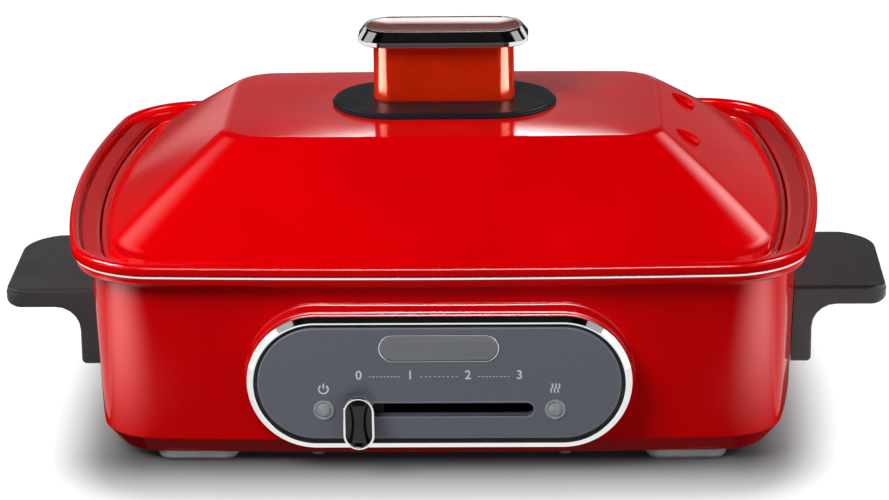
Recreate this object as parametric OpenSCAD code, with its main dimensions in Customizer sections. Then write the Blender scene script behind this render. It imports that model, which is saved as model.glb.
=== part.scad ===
// Countertop multicooker: an enamelled housing with a lift-out pan, a lift-off domed lid,
// two side handles and a front panel whose slider turns a thermostat through a rack and pinion.
// The origin lies on the table under the middle of the housing; the panel faces -Y.

/* [Rim] */
// Width over the rim frame
rim_w = 338; // [325:1:350]
// Depth over the rim frame
rim_d = 260; // [252:1:275]
// Plan radius of the rim's corners
rim_r = 39; // [36:1:46]
// Bow radius of the short sides in plan
side_bow = 528; // [480:1:700]
// Bow radius of the long sides in plan
face_bow = 2800; // [2300:10:4000]
// Height of the frame's bead above the housing lip
bead_h = 6.2; // [5.6:0.1:7]
// Height of the pan seat below the housing lip
seat_drop = 4; // [3.6:0.1:4.4]
// Shadow gap between the frame's bead and the housing lip
shadow_gap = 1; // [0.6:0.1:1.4]

/* [Housing] */
// Height of the housing lip above the table
lip_z = 90; // [88:0.5:96]
// Inset of the lip from the rim's outline
lip_inset = 4; // [3.6:0.1:5]
// Inset of the wall from the rim's outline at the top
wall_inset_top = 8.8; // [8.4:0.1:9.2]
// Inset of the wall from the rim's outline at the bottom
wall_inset_low = 11.4; // [10.8:0.1:12]
// Thickness of the sheet
sheet_t = 1.5; // [1.2:0.1:1.7]
// Height of the bevel along the bottom edge
bevel_h = 8.5; // [7.5:0.1:9.5]
// Width of the bevel along the bottom edge
bevel_w = 6.8; // [6:0.1:7.5]

/* [Feet and base] */
// Height of the feet
foot_h = 4.5; // [4:0.1:6]
// Length of a foot
foot_l = 35; // [28:1:40]
// Width of a foot
foot_w = 13; // [10:1:15]
// Inset of a foot's middle from the rim's short sides
foot_inset_x = 62; // [56:0.5:74]
// Inset of a foot's middle from the rim's long sides
foot_inset_y = 26.5; // [26:0.5:36]
// Thickness of the base plate
base_t = 2; // [1.6:0.1:2.4]
// Number of air slots in the base plate
air_slots = 7; // [3:1:9]

/* [Lid] */
// Height of the lid's flat top above the housing lip
lid_rise = 41.3; // [36:0.1:48]
// Width of the lid's flat top
lid_top_w = 194.8; // [175:0.2:205]
// Depth of the lid's flat top
lid_top_d = 109; // [96:0.2:116]
// Corner radius of the flat top
lid_top_r = 17; // [12:0.5:24]
// Corner radius of the dome where it starts
dome_r = 34; // [28:0.5:40]
// Thickness of the lid
lid_t = 1.5; // [1.2:0.1:1.8]
// Bore of the steam holes
vent_d = 4; // [3:0.1:5]

/* [Knob] */
// Width of the knob's foot plate
plate_w = 102; // [90:1:112]
// Depth of the knob's foot plate
plate_d = 57; // [48:1:62]
// Thickness of the knob's foot plate
plate_t = 2.6; // [2:0.1:3.5]
// Width of the knob's body
body_w = 64; // [56:0.5:68]
// Depth of the knob's body
body_d = 19; // [16:0.5:22]
// Height of the knob's body
body_h = 27.2; // [22:0.1:32]
// Overhang of the cap round the body
cap_overhang = 6.5; // [5:0.1:8]
// Height of the cap
cap_h = 6.9; // [6:0.1:9]
// Depth of the hollow in the cap's top
cap_dish = 1.2; // [0.6:0.1:1.8]
// Distance between the two knob screws
knob_screw_span = 40; // [30:1:44]

/* [Handles] */
// Width over both handles
handle_span = 400; // [390:1:410]
// Length of a handle along the side
handle_l = 80; // [70:1:90]
// Height of the handles' top face above the table
handle_z = 55.2; // [52:0.2:58]
// Thickness of the grip
grip_t = 8.7; // [7.5:0.1:9.5]
// Thickness of the leg against the wall
leg_t = 7; // [6:0.1:8]
// Height of the whole handle
handle_h = 36; // [33:0.5:38]
// Distance between the screws of one handle
handle_screw_span = 50; // [40:1:56]

/* [Panel] */
// Height of the panel's middle above the table
panel_z = 42.8; // [41:0.2:44]
// Width of the raised surround
boss_w = 167; // [160:1:176]
// Height of the raised surround
boss_d = 61.2; // [60:0.2:64]
// Rise of the surround off the housing wall
boss_rise = 4.8; // [4:0.1:6]
// Width of the bright trim ring
trim_w = 3; // [2.6:0.1:3.6]
// Rise of the bright trim ring
trim_rise = 4.4; // [4:0.1:5]
// Width of the dark groove inside the ring
groove_w = 1.6; // [1.2:0.1:2]
// Width of the name badge, left blank
badge_w = 52; // [44:0.5:58]
// Height of the name badge
badge_h = 12.7; // [11:0.1:14]
// Height of the badge's middle above the panel's middle
badge_up = 16.2; // [15.2:0.1:16.6]
// Distance between the two lamps
lamp_span = 99.6; // [97:0.2:104]
// Diameter of a lamp lens
lens_d = 6; // [5:0.1:6.4]

/* [Slider] */
// Travel from off to high
travel = 69; // [60:0.5:72]
// Drop of the slot below the panel's middle
slot_drop = 12; // [11.6:0.1:12.6]
// Height of the slot
slot_h = 6; // [5.6:0.1:6.6]
// Width of the slider's grip
slider_w = 13.4; // [11:0.1:15]
// Height of the slider's grip
slider_h = 24; // [20:0.2:26]
// Reach of the slider's grip off the panel face
slider_reach = 8.1; // [7:0.1:10]
// Diameter of the guide rods
rod_d = 3; // [2.6:0.1:3.4]
// Distance between the guide rods
rod_gap = 13; // [12.6:0.1:14]

/* [Thermostat] */
// Module of the rack and pinion teeth
tooth_m = 1.25; // [1.15:0.05:1.3]
// Number of teeth on the pinion
pinion_teeth = 24; // [22:1:26]
// Diameter of the spindle
spindle_d = 6; // [5:0.1:7]
// Width of the thermostat
thermostat_w = 44; // [38:1:50]
// Depth of the thermostat
thermostat_d = 38; // [32:1:40]

/* [Pan and heater] */
// Depth of the pan below its rim
pan_depth = 43; // [38:0.5:45]
// Thickness of the pan
pan_t = 1.8; // [1.4:0.1:2]
// Diameter of the heater tube
tube_d = 8; // [6.5:0.1:8.5]
// Width of the heater loop between tube middles
loop_w = 190; // [160:1:210]
// Depth of the heater loop between tube middles
loop_d = 116; // [100:1:130]
// Bend radius of the heater tube
bend_r = 24; // [18:0.5:28]
// Distance between the heater's two legs
leg_span = 48; // [40:1:60]

/* [Power inlet] */
// Width of the inlet's shroud
inlet_w = 36; // [32:0.5:42]
// Height of the inlet's shroud
inlet_h = 22; // [20:0.5:26]
// Height of the inlet's middle above the table
inlet_z = 36; // [32:0.5:40]
// Diameter of the inlet's pins
pin_d = 4.8; // [4:0.1:5]
// Distance between the inlet's pins
pin_span = 13; // [12:0.1:14]

/* [Clearances] */
// Gap between pieces that lift apart
lift_gap = 0.6; // [0.5:0.05:0.8]
// Gap between a lifting piece and its seat
seat_gap = 0.3; // [0.2:0.05:0.4]
// Gap round pieces that are assembled once
fit_gap = 0.2; // [0.1:0.05:0.3]
// Radial gap of running fits
run_gap = 0.05; // [0.02:0.01:0.08]
// Thinning of each tooth so that rack and pinion run free
backlash = 0.3; // [0.2:0.05:0.4]

/* [Hidden] */
$fn = 64;

// Points on the arcs of a plan outline
side_steps = 6;
face_steps = 6;
corner_steps = 8;
// Overlap of cutting tools past the faces that they cut
cut = 1;

// Heights above the table
bottom_z = foot_h;
base_top = bottom_z + base_t;
bevel_z = bottom_z + bevel_h;
wall_top_z = lip_z - 6;
seat_z = lip_z - seat_drop;
ledge_t = 4;
ledge_z = seat_z - ledge_t;
pan_rim_z = seat_z + seat_gap;
pan_z = pan_rim_z - pan_depth;
lid_z = pan_rim_z + pan_t + seat_gap;
lid_top_z = lip_z + lid_rise;
tray_t = 0.8;
tube_z = pan_z - seat_gap - tube_d / 2;
tray_z = tube_z - tube_d / 2 - 5.4;

// Insets from the rim's outline
skirt_inset = 13.4;
skirt_t = 1.4;
ledge_inset = 18;
flange_inset = skirt_inset - skirt_t - fit_gap;
pan_inset = ledge_inset + 0.8;
pan_edge_inset = skirt_inset + lift_gap;
spigot_inset = pan_inset + pan_t + lift_gap;
dome_inset = pan_edge_inset + 2.6;
base_inset = wall_inset_low + bevel_w;
tray_inset = ledge_inset - 0.6;

// Colours
enamel = "#d0060c";
dark_plastic = "#3f4042";
bright = "#dfe2e6";
panel_grey = "#595c64";
steel = "#b9bcc0";
nonstick = "#2b2b2d";
brass = "#c9a34a";
ceramic = "#e8e2d4";

function mix(a, b, t) = a + (b - a) * t;
function unit(v) = v / norm(v);
function polar(r, a) = [r * cos(a), r * sin(a)];

// Arc of n steps about c, without its last point
function arc(c, r, a, b, n) = [for (i = [0:n - 1]) c + polar(r, mix(a, b, i / n))];

// Arc of n steps about c, with its last point
function full_arc(c, r, a, b, n) = [for (i = [0:n]) c + polar(r, mix(a, b, i / n))];

// Middle of the corner arc that runs smoothly into a side arc and a face arc
function corner_middle(hw, hd, r, sb, fb) =
    let (p = [hw - sb, 0])
    let (q = [0, hd - fb])
    let (u = unit(q - p))
    let (d = norm(q - p))
    let (a = ((sb - r) ^ 2 - (fb - r) ^ 2 + d ^ 2) / (2 * d))
    p + a * u + sqrt((sb - r) ^ 2 - a ^ 2) * [-u[1], u[0]];

// Bowed rectangle of eight arcs: half width, half depth, corner radius and the two bow radii
function outline(hw, hd, r, sb, fb) =
    let (c = corner_middle(hw, hd, r, sb, fb))
    let (a = atan2(c[1], c[0] - hw + sb))
    let (b = atan2(c[1] - hd + fb, c[0]))
    concat(
        arc([hw - sb, 0], sb, -a, a, side_steps),
        arc(c, r, a, b, corner_steps),
        arc([0, hd - fb], fb, b, 180 - b, face_steps),
        arc([-c[0], c[1]], r, 180 - b, 180 - a, corner_steps),
        arc([sb - hw, 0], sb, 180 - a, 180 + a, side_steps),
        arc(-c, r, 180 + a, 180 + b, corner_steps),
        arc([0, fb - hd], fb, 180 + b, 360 - b, face_steps),
        arc([c[0], -c[1]], r, 360 - b, 360 - a, corner_steps));

function lift(points, z) = [for (p = points) [p[0], p[1], z]];

// The rim's outline drawn in by s
function rim_outline(s) =
    outline(rim_w / 2 - s, rim_d / 2 - s, max(rim_r - s, 6), side_bow - s, face_bow - s);

function ring(s, z) = lift(rim_outline(s), z);

// A cross-section given as [inset, height] points, carried round the rim's outline
function rings(section) = [for (p = section) ring(p[0], p[1])];

// Inset of the housing wall at height z
function wall_inset(z) = mix(wall_inset_low, wall_inset_top, (z - bevel_z) / (wall_top_z - bevel_z));

// Distance of the housing's outer face from the middle, at height z, on the long and the short sides
function front_at(z) = rim_d / 2 - wall_inset(z);
function side_at(z) = rim_w / 2 - wall_inset(z);

// Sag of the bowed long side at distance x from its middle
function face_sag(x) = face_bow - sqrt(face_bow ^ 2 - x ^ 2);

// Solid skinned over rings of points: outside upwards, then inside downwards,
// closed by a loop or by two caps
module skin(rings, loop = false) {
    m = len(rings);
    n = len(rings[0]);
    sides = [for (i = [0:m - (loop ? 1 : 2)], j = [0:n - 1])
        let (k = (i + 1) % m)
        let (l = (j + 1) % n)
        each [[i * n + j, k * n + l, i * n + l], [i * n + j, k * n + j, k * n + l]]];
    caps = loop ? [] : [[for (j = [0:n - 1]) j], [for (j = [n - 1:-1:0]) (m - 1) * n + j]];
    polyhedron(points = [for (r = rings) each r], faces = concat(sides, caps), convexity = 8);
}

// Corner-cutting pass that rounds a route
function rounded(p) = concat(
    [p[0]],
    [for (i = [0:len(p) - 2]) each [mix(p[i], p[i + 1], 0.25), mix(p[i], p[i + 1], 0.75)]],
    [p[len(p) - 1]]);

function tangent(p, i) = unit(p[min(i + 1, len(p) - 1)] - p[max(i - 1, 0)]);

// Normals carried along a route without twist
function normals(p, n, i = 0) = i == len(p) ? [] :
    let (t = tangent(p, i))
    let (m = unit(n - (n * t) * t))
    concat([m], normals(p, m, i + 1));

// Round wire of diameter d swept along a route
module wire(route, d, sides = 8) {
    p = rounded(rounded(route));
    m = normals(p, [0.31, 0.17, 0.93]);
    skin([for (i = [0:len(p) - 1])
        let (b = cross(tangent(p, i), m[i]))
        [for (j = [0:sides - 1])
            let (v = polar(d / 2, 360 * j / sides))
            p[i] + v[0] * m[i] + v[1] * b]]);
}

// Flat shape with round ends, along X
module stadium(w, h) {
    square([w - h, h], center = true);
    for (s = [-1, 1]) translate([s * (w - h) / 2, 0]) circle(d = h);
}

module stadium_bar(w, h, z, l) {
    translate([0, 0, z]) linear_extrude(l) stadium(w, h);
}

// Section drawn at x = 0 on the edge of a stadium, x outwards, carried round it
module stadium_ring(w, h) {
    for (s = [-1, 1]) {
        translate([s * (w - h) / 2, 0, 0]) rotate([0, 0, s * 90 - 180])
            rotate_extrude(angle = 180) translate([h / 2, 0]) children();
        translate([0, s * h / 2, 0]) rotate([0, 0, s * 90]) rotate([90, 0, 0])
            linear_extrude(w - h, center = true) children();
    }
}

// Socket screw standing on its head's underside at z = 0, shank downwards; head is its width over d
module screw(d, l, head = 1.9) {
    head_h = 0.6 * d;
    difference() {
        cylinder(d = head * d, h = head_h);
        translate([0, 0, head_h / 2]) cylinder(d = head * d / 2, h = head_h, $fn = 6);
    }
    translate([0, 0, -l]) cylinder(d = d, h = l);
}

module on_four(x, y) {
    for (sx = [-1, 1], sy = [-1, 1]) translate([sx * x, sy * y, 0]) children();
}

// Housing

handle_screw_d = 4;
handle_screw_z = handle_z - handle_h * 0.62;
inlet_block_w = inlet_w + 4;
inlet_block_h = inlet_h + 4;
small_screw_d = 3;
base_screw_inset = base_inset + 4.6;
base_screw_x = rim_w / 2 - base_screw_inset;
base_screw_y = rim_d / 2 - base_screw_inset;
inner_flange = base_inset + 9;

module at_base_screws() {
    for (s = [-1, 1]) {
        translate([s * base_screw_x, 0, 0]) children();
        for (x = [-0.16 * rim_w, 0.16 * rim_w])
            translate([x, s * (base_screw_y - face_sag(x)), 0]) children();
    }
}

module housing() {
    t = sheet_t;
    section = [
        [base_inset, bottom_z], [wall_inset_low + 0.8, bevel_z - 1.4], [wall_inset_low, bevel_z],
        [wall_inset_top, wall_top_z], [wall_inset_top - 0.6, wall_top_z + 1.4],
        [lip_inset + 0.8, lip_z - 3.8], [lip_inset, lip_z - 3], [lip_inset, lip_z - 0.8],
        [lip_inset + 1, lip_z], [flange_inset, lip_z],
        [flange_inset, lip_z - t], [lip_inset + t + 1.4, lip_z - t], [lip_inset + t + 1, lip_z - t - 0.6],
        [wall_inset_top + t - 0.4, wall_top_z + 2], [wall_inset_top + t, wall_top_z - 0.6],
        [wall_inset_low + t, bevel_z + 0.4], [wall_inset_low + t + 0.6, bevel_z - 1],
        [base_inset - 0.6, base_top + t], [inner_flange, base_top + t], [inner_flange, base_top],
        [base_inset + 0.2, base_top], [base_inset + 0.2, bottom_z]];
    color(enamel) difference() {
        skin(rings(section), loop = true);
        on_panel() stadium_bar(boss_w + 2 * fit_gap, boss_d + 2 * fit_gap, -mount_depth, mount_depth);
        translate([0, front_at(inlet_z) - mount_depth / 2, inlet_z])
            translate([-inlet_block_w / 2 - fit_gap, 0, -inlet_block_h / 2 - fit_gap])
                cube([inlet_block_w + 2 * fit_gap, mount_depth, inlet_block_h + 2 * fit_gap]);
        for (y = [-1, 1]) translate([-rim_w / 2, y * handle_screw_span / 2, handle_screw_z])
            rotate([0, 90, 0]) cylinder(d = handle_screw_d + 2 * fit_gap, h = rim_w);
        at_base_screws() translate([0, 0, base_top - cut])
            cylinder(d = small_screw_d + 2 * fit_gap, h = sheet_t + 2 * cut);
    }
}

module base_plate() {
    air_l = 38;
    air_w = 4;
    air_pitch = 13;
    color("#303134") difference() {
        translate([0, 0, bottom_z]) linear_extrude(base_t) polygon(rim_outline(base_inset + 0.4 + fit_gap));
        for (i = [0:air_slots - 1]) translate([0, (i - (air_slots - 1) / 2) * air_pitch + 2 * air_w, 0])
            stadium_bar(air_l, air_w, bottom_z - cut, base_t + 2 * cut);
        at_base_screws() translate([0, 0, bottom_z - cut])
            cylinder(d = small_screw_d + 2 * fit_gap, h = base_t + 2 * cut);
        on_four(foot_x, foot_y) translate([0, 0, bottom_z - cut])
            cylinder(d = foot_pin_d, h = base_t + 2 * cut);
    }
}

module base_screws() {
    color(steel) at_base_screws() translate([0, 0, bottom_z]) rotate([180, 0, 0])
        screw(small_screw_d, base_t + sheet_t);
}

// Feet: pads with a pin that plugs into the base plate

foot_pin_d = 6;
foot_x = rim_w / 2 - foot_inset_x;
foot_y = rim_d / 2 - foot_inset_y;

module foot(x, y) {
    color("#8d9094") translate([x * foot_x, y * foot_y, 0]) {
        linear_extrude(foot_h) stadium(foot_l, foot_w);
        cylinder(d = foot_pin_d - fit_gap, h = foot_h + base_t);
    }
}

module foot_front_left() {
    foot(-1, -1);
}

module foot_front_right() {
    foot(1, -1);
}

module foot_rear_left() {
    foot(-1, 1);
}

module foot_rear_right() {
    foot(1, 1);
}

// Rim frame: outer bead, groove, sloped band, inner skirt and the ledge that carries the pan

bead_groove = 1.2;

module rim_frame() {
    section = [
        [1, lip_z + shadow_gap], [0, lip_z + shadow_gap + 1], [0, lip_z + bead_h - 1.2],
        [1, lip_z + bead_h], [3, lip_z + bead_h], [4.2, lip_z + bead_h - 1],
        [4.4, lip_z + 3.1 - bead_groove], [5.4, lip_z + 3.1 - bead_groove], [5.6, lip_z + 3.1],
        [skirt_inset - 2, lip_z + 2.2], [skirt_inset - 0.6, lip_z + 1.4], [skirt_inset, lip_z],
        [skirt_inset, seat_z], [ledge_inset, seat_z], [ledge_inset, ledge_z],
        [skirt_inset - skirt_t, ledge_z], [skirt_inset - skirt_t, lip_z], [lip_inset + 1, lip_z],
        [lip_inset, lip_z + shadow_gap]];
    color(enamel) difference() {
        skin(rings(section), loop = true);
        at_tray_screws() translate([0, 0, ledge_z - cut])
            cylinder(d = small_screw_d, h = tray_screw_l + cut);
    }
}

// Reflector tray: polished sheet under the pan, screwed up against the frame's ledge

tray_screw_l = 3;
tray_screw_inset = skirt_inset + 0.9;

module at_tray_screws() {
    for (s = [-1, 1]) {
        translate([s * (rim_w / 2 - tray_screw_inset), 0, 0]) children();
        for (x = [-0.24 * rim_w, 0.24 * rim_w])
            translate([x, s * (rim_d / 2 - tray_screw_inset - face_sag(x)), 0]) children();
    }
}

module reflector_tray() {
    t = tray_t;
    s = tray_inset;
    color("#d3d5d8") difference() {
        skin(rings([
            [s + 26, tray_z], [s + 17.4, tray_z], [s + 14, tray_z + 2.4], [s + 10.6, tray_z + 10],
            [s + 4, tray_z + 28], [s - t, ledge_z - 4], [s - t, ledge_z - t],
            [skirt_inset - skirt_t, ledge_z - t], [skirt_inset - skirt_t, ledge_z],
            [s, ledge_z], [s, ledge_z - 4], [s + 4 + t, tray_z + 28 + t / 2],
            [s + 10.6 + t, tray_z + 10 + t / 2], [s + 14 + t, tray_z + 2.8 + t / 2],
            [s + 17.4 + t, tray_z + t], [s + 26, tray_z + t]]));
        at_tray_screws() translate([0, 0, ledge_z - t - cut])
            cylinder(d = small_screw_d + fit_gap, h = t + 2 * cut);
        for (x = [-leg_span / 2, leg_span / 2]) translate([x, loop_d / 2, tray_z - cut])
            cylinder(d = bush_d + 2 * fit_gap, h = t + 2 * cut);
        translate([capillary_x, capillary_y, tray_z - cut]) cylinder(d = 3 * capillary_d, h = t + 2 * cut);
    }
}

module tray_screws() {
    color(steel) at_tray_screws() translate([0, 0, ledge_z - tray_t]) rotate([180, 0, 0])
        screw(small_screw_d - fit_gap, tray_t + tray_screw_l - seat_gap, 1.5);
}

// Heating element: one bent tube whose two legs pass down through the tray

bush_d = 13;
bush_l = 9;
bush_stand = 2;
leg_low_z = base_top + 9;
leg_bend = 7;
terminal_l = 5;

module bend(r, angle) {
    rotate_extrude(angle = angle) translate([r, 0]) circle(d = tube_d);
}

// Lengths of tube along X and along Y
module straight_x(x0, x1, y) {
    translate([x0, y, tube_z]) rotate([0, 90, 0]) cylinder(d = tube_d, h = x1 - x0);
}

module straight_y(y0, y1, x) {
    translate([x, y0, tube_z]) rotate([-90, 0, 0]) cylinder(d = tube_d, h = y1 - y0);
}

// Right half of the loop, with one leg
module element_half() {
    hx = loop_w / 2;
    hy = loop_d / 2;
    leg_x0 = leg_span / 2;
    straight_x(0, hx - bend_r, -hy);
    translate([hx - bend_r, bend_r - hy, tube_z]) rotate([0, 0, 270]) bend(bend_r, 90);
    straight_y(bend_r - hy, hy - bend_r, hx);
    translate([hx - bend_r, hy - bend_r, tube_z]) bend(bend_r, 90);
    straight_x(leg_x0 + leg_bend, hx - bend_r, hy);
    translate([leg_x0 + leg_bend, hy, tube_z - leg_bend])
        rotate([90, 0, 0]) rotate([0, 0, 90]) bend(leg_bend, 90);
    translate([leg_x0, hy, leg_low_z]) cylinder(d = tube_d, h = tube_z - leg_bend - leg_low_z);
    translate([leg_x0, hy, leg_low_z - terminal_l]) cylinder(d = lead_d, h = terminal_l);
}

module heating_element() {
    color("#6d6a68") {
        element_half();
        mirror([1, 0, 0]) element_half();
    }
}

module element_bushes() {
    low = tray_z + bush_stand - bush_l;
    color(ceramic) for (x = [-leg_span / 2, leg_span / 2]) translate([x, loop_d / 2, low])
        difference() {
            union() {
                cylinder(d = bush_d, h = bush_l);
                translate([0, 0, bush_l - 2 * bush_stand]) cylinder(d = bush_d + 4, h = bush_stand);
            }
            translate([0, 0, -cut]) cylinder(d = tube_d + 2 * fit_gap, h = bush_l + 2 * cut);
        }
}

module element_brackets() {
    w = tube_d + 6;
    l = 10;
    floor_z = tray_z + tray_t;
    color(steel) on_four(loop_w / 2, 0.22 * loop_d) difference() {
        translate([-w / 2, -l / 2, floor_z]) cube([w, l, tube_z - floor_z]);
        translate([0, -l / 2 - cut, tube_z]) rotate([-90, 0, 0])
            cylinder(d = tube_d + fit_gap, h = l + 2 * cut);
        translate([-w / 4, -l / 2 - cut, floor_z + 1.5]) cube([w / 2, l + 2 * cut, 2]);
    }
}

// Pan and lid

module cooking_pan() {
    t = pan_t;
    s = pan_inset;
    color(nonstick) skin(rings([
        [s + 24, pan_z], [s + 16, pan_z], [s + 11.5, pan_z + 1.6], [s + 8, pan_z + 5],
        [s + 5.6, pan_z + 11], [s, seat_z - 3], [s, pan_rim_z], [pan_edge_inset + 0.6, pan_rim_z],
        [pan_edge_inset, pan_rim_z + 0.6], [pan_edge_inset, pan_rim_z + t - 0.6],
        [pan_edge_inset + 0.6, pan_rim_z + t], [s + t - 0.6, pan_rim_z + t],
        [s + t, pan_rim_z + t - 0.6], [s + t, seat_z - 3.4], [s + 5.6 + t, pan_z + 11 + t / 2],
        [s + 8 + t, pan_z + 5.6 + t / 2], [s + 11.5 + t / 2, pan_z + 2 + t],
        [s + 16 + t / 2, pan_z + t], [s + 24, pan_z + t]]));
}

dome_z = lid_z + 3.5;
dome_hw = rim_w / 2 - dome_inset;
dome_hd = rim_d / 2 - dome_inset;

// Ring of the dome: u is 0 where the dome starts and 1 at the edge of the flat top
function dome_ring(u, z) = lift(outline(
    mix(dome_hw, lid_top_w / 2, u), mix(dome_hd, lid_top_d / 2, u), mix(dome_r, lid_top_r, u),
    1 / mix(1 / (side_bow - dome_inset), 1 / 4000, u), face_bow - dome_inset), z);

// Height of the dome's outer face at u, rounded over into the flat top
top_round = 0.03;
function dome_height(u) = mix(dome_z, lid_top_z, u < 1 - top_round ? u :
    1 - (1 + top_round - u) ^ 2 / (4 * top_round));

dome_us = concat(
    [for (i = [0:5]) (1 - top_round) * i / 5],
    [for (i = [1:4]) 1 - top_round + top_round * i / 2]);
dome_drop = lid_t * 1.2;

// Steam holes on the right slope: places along Y and along the slope
vent_ys = [-26, 32];
vent_u = 0.72;

module lid_shell() {
    t = lid_t;
    vent_x = mix(dome_hw, lid_top_w / 2, vent_u);
    vent_tilt = atan2(dome_hw - lid_top_w / 2, lid_top_z - dome_z);
    inner = [for (i = [len(dome_us) - 1:-1:1])
        dome_ring(dome_us[i], dome_height(dome_us[i]) - dome_drop)];
    seat = rings([
        [spigot_inset + t, lid_z + 1.2], [spigot_inset + t, lid_z - 3.6], [spigot_inset, lid_z - 3.6],
        [spigot_inset, lid_z], [pan_edge_inset + 0.6, lid_z], [pan_edge_inset, lid_z + 0.7],
        [pan_edge_inset, lid_z + 1.6], [pan_edge_inset + 0.6, lid_z + 2.3],
        [pan_edge_inset + 1.4, lid_z + 2.5]]);
    outer = [for (u = dome_us) dome_ring(u, dome_height(u))];
    color(enamel) difference() {
        skin(concat(inner, seat, outer));
        for (y = vent_ys) translate([vent_x, y, dome_height(vent_u)]) rotate([0, 90 - vent_tilt, 0])
            translate([0, 0, -8]) cylinder(d = vent_d, h = 16);
        for (s = [-1, 1]) translate([s * knob_screw_span / 2, 0, lid_top_z - dome_drop - cut])
            cylinder(d = knob_screw_d + 2 * fit_gap, h = dome_drop + 2 * cut);
    }
}

// Knob

knob_screw_d = 4;
knob_screw_l = 16;
backing_t = 1.6;
body_z = lid_top_z + plate_t;
cap_z = body_z + body_h;

module at_knob_screws(z) {
    for (s = [-1, 1]) translate([s * knob_screw_span / 2, 0, z]) children();
}

module knob_plate() {
    color("#222428") difference() {
        union() {
            stadium_bar(plate_w, plate_d, lid_top_z, plate_t - 0.8);
            stadium_bar(plate_w - 1.6, plate_d - 1.6, lid_top_z, plate_t);
        }
        at_knob_screws(lid_top_z - cut) cylinder(d = knob_screw_d + 2 * fit_gap, h = plate_t + 2 * cut);
    }
}

module knob_body() {
    color("#b3200c") difference() {
        stadium_bar(body_w, body_d, body_z, body_h);
        at_knob_screws(body_z - cut) cylinder(d = knob_screw_d, h = knob_screw_l + cut);
    }
}

// Bowed outline of the knob's cap, grown by g from the knob's body
cap_r = 12;
cap_deepen = 1.5;
cap_side_bow = 700;
cap_face_bow = 1400;
function cap_ring(g, z) = lift(outline(
    body_w / 2 + g, body_d / 2 + cap_deepen + g, min(body_d / 2 + g - 1, cap_r),
    cap_side_bow, cap_face_bow), z);

module knob_cap() {
    g = cap_overhang;
    h = cap_h;
    color(bright) skin([
        cap_ring(g - 1.6, cap_z), cap_ring(g - 0.4, cap_z + 0.4), cap_ring(g, cap_z + 1.2),
        cap_ring(g, cap_z + 2.4), cap_ring(g - 2.6, cap_z + h - 0.6), cap_ring(g - 3.2, cap_z + h),
        cap_ring(g - 4, cap_z + h),
        cap_ring(g - 4.8, cap_z + h - 0.4), cap_ring(0, cap_z + h - cap_dish * 0.8),
        cap_ring(-body_d / 4, cap_z + h - cap_dish)]);
}

module knob_backing() {
    color(steel) difference() {
        stadium_bar(knob_screw_span + 18, 16, lid_top_z - dome_drop - backing_t, backing_t);
        at_knob_screws(lid_top_z - dome_drop - backing_t - cut)
            cylinder(d = knob_screw_d + 2 * fit_gap, h = backing_t + 2 * cut);
    }
}

module knob_screws() {
    head_z = lid_top_z - dome_drop - backing_t;
    color(steel) at_knob_screws(head_z) rotate([180, 0, 0])
        screw(knob_screw_d - fit_gap, body_z + knob_screw_l - 1 - head_z);
}

// Handles: an L of grip and leg, cut to the plan shape and to the wall that it is screwed to

handle_front_r = 8;
handle_rear_r = 22;
handle_fillet = 11;
tip_r = 5.4;
leg_skin = 2;
leg_x = side_at(handle_z) + leg_t;

module handle_side() {
    top = handle_z;
    under = handle_z - grip_t;
    low = handle_z - handle_h;
    tip = handle_span / 2;
    inner = side_at(handle_z) - 8;
    polygon(concat(
        [[inner, low], [leg_x - 3, low]],
        full_arc([leg_x - 3, low + 3], 3, -90, 0, 4),
        full_arc([leg_x + handle_fillet, under - handle_fillet], handle_fillet, 180, 90, 8),
        full_arc([tip - tip_r, under + tip_r], tip_r, -90, 0, 6),
        [[tip, top - 1.6], [tip - 0.5, top - 0.5], [tip - 1.6, top], [inner, top]]));
}

module handle_plan() {
    tip = handle_span / 2;
    y = handle_l / 2;
    inner = side_at(handle_z) - 8;
    polygon(concat(
        [[inner, y], [inner, -y]],
        full_arc([tip - handle_front_r, handle_front_r - y], handle_front_r, -90, 0, 6),
        full_arc([tip - handle_rear_r, y - handle_rear_r], handle_rear_r, 0, 90, 8)));
}

// Space of the housing's bowed and drafted side wall, with its outer face at distance gap
module side_wall_space(gap) {
    draft = atan2(wall_inset_low - wall_inset_top, wall_top_z - bevel_z);
    r = side_bow - wall_inset(handle_z);
    translate([side_at(handle_z) + gap, 0, handle_z]) rotate([0, draft, 0])
        translate([-r, 0, -2 * handle_h]) cylinder(r = r, h = 3 * handle_h, $fn = 720);
}

module handle() {
    color(dark_plastic) difference() {
        intersection() {
            translate([0, handle_l / 2, 0]) rotate([90, 0, 0]) linear_extrude(handle_l) handle_side();
            translate([0, 0, handle_z - handle_h]) linear_extrude(handle_h) handle_plan();
        }
        side_wall_space(fit_gap);
        for (y = [-1, 1]) translate([side_at(handle_z) - leg_t, y * handle_screw_span / 2, handle_screw_z])
            rotate([0, 90, 0]) cylinder(d = handle_screw_d, h = 2 * leg_t - leg_skin);
    }
}

module handle_right() {
    handle();
}

module handle_left() {
    mirror([1, 0, 0]) handle();
}

module handle_screws() {
    head_x = side_at(handle_screw_z) - sheet_t - 1.2;
    color(steel) for (s = [0, 1], y = [-1, 1]) mirror([s, 0, 0])
        translate([head_x, y * handle_screw_span / 2, handle_screw_z]) rotate([0, -90, 0])
            screw(handle_screw_d - fit_gap, leg_x - leg_skin - seat_gap - head_x);
}

// Front panel, drawn in its own frame: x to the right, y up, z out of the panel, 0 on the surround's front

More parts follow.
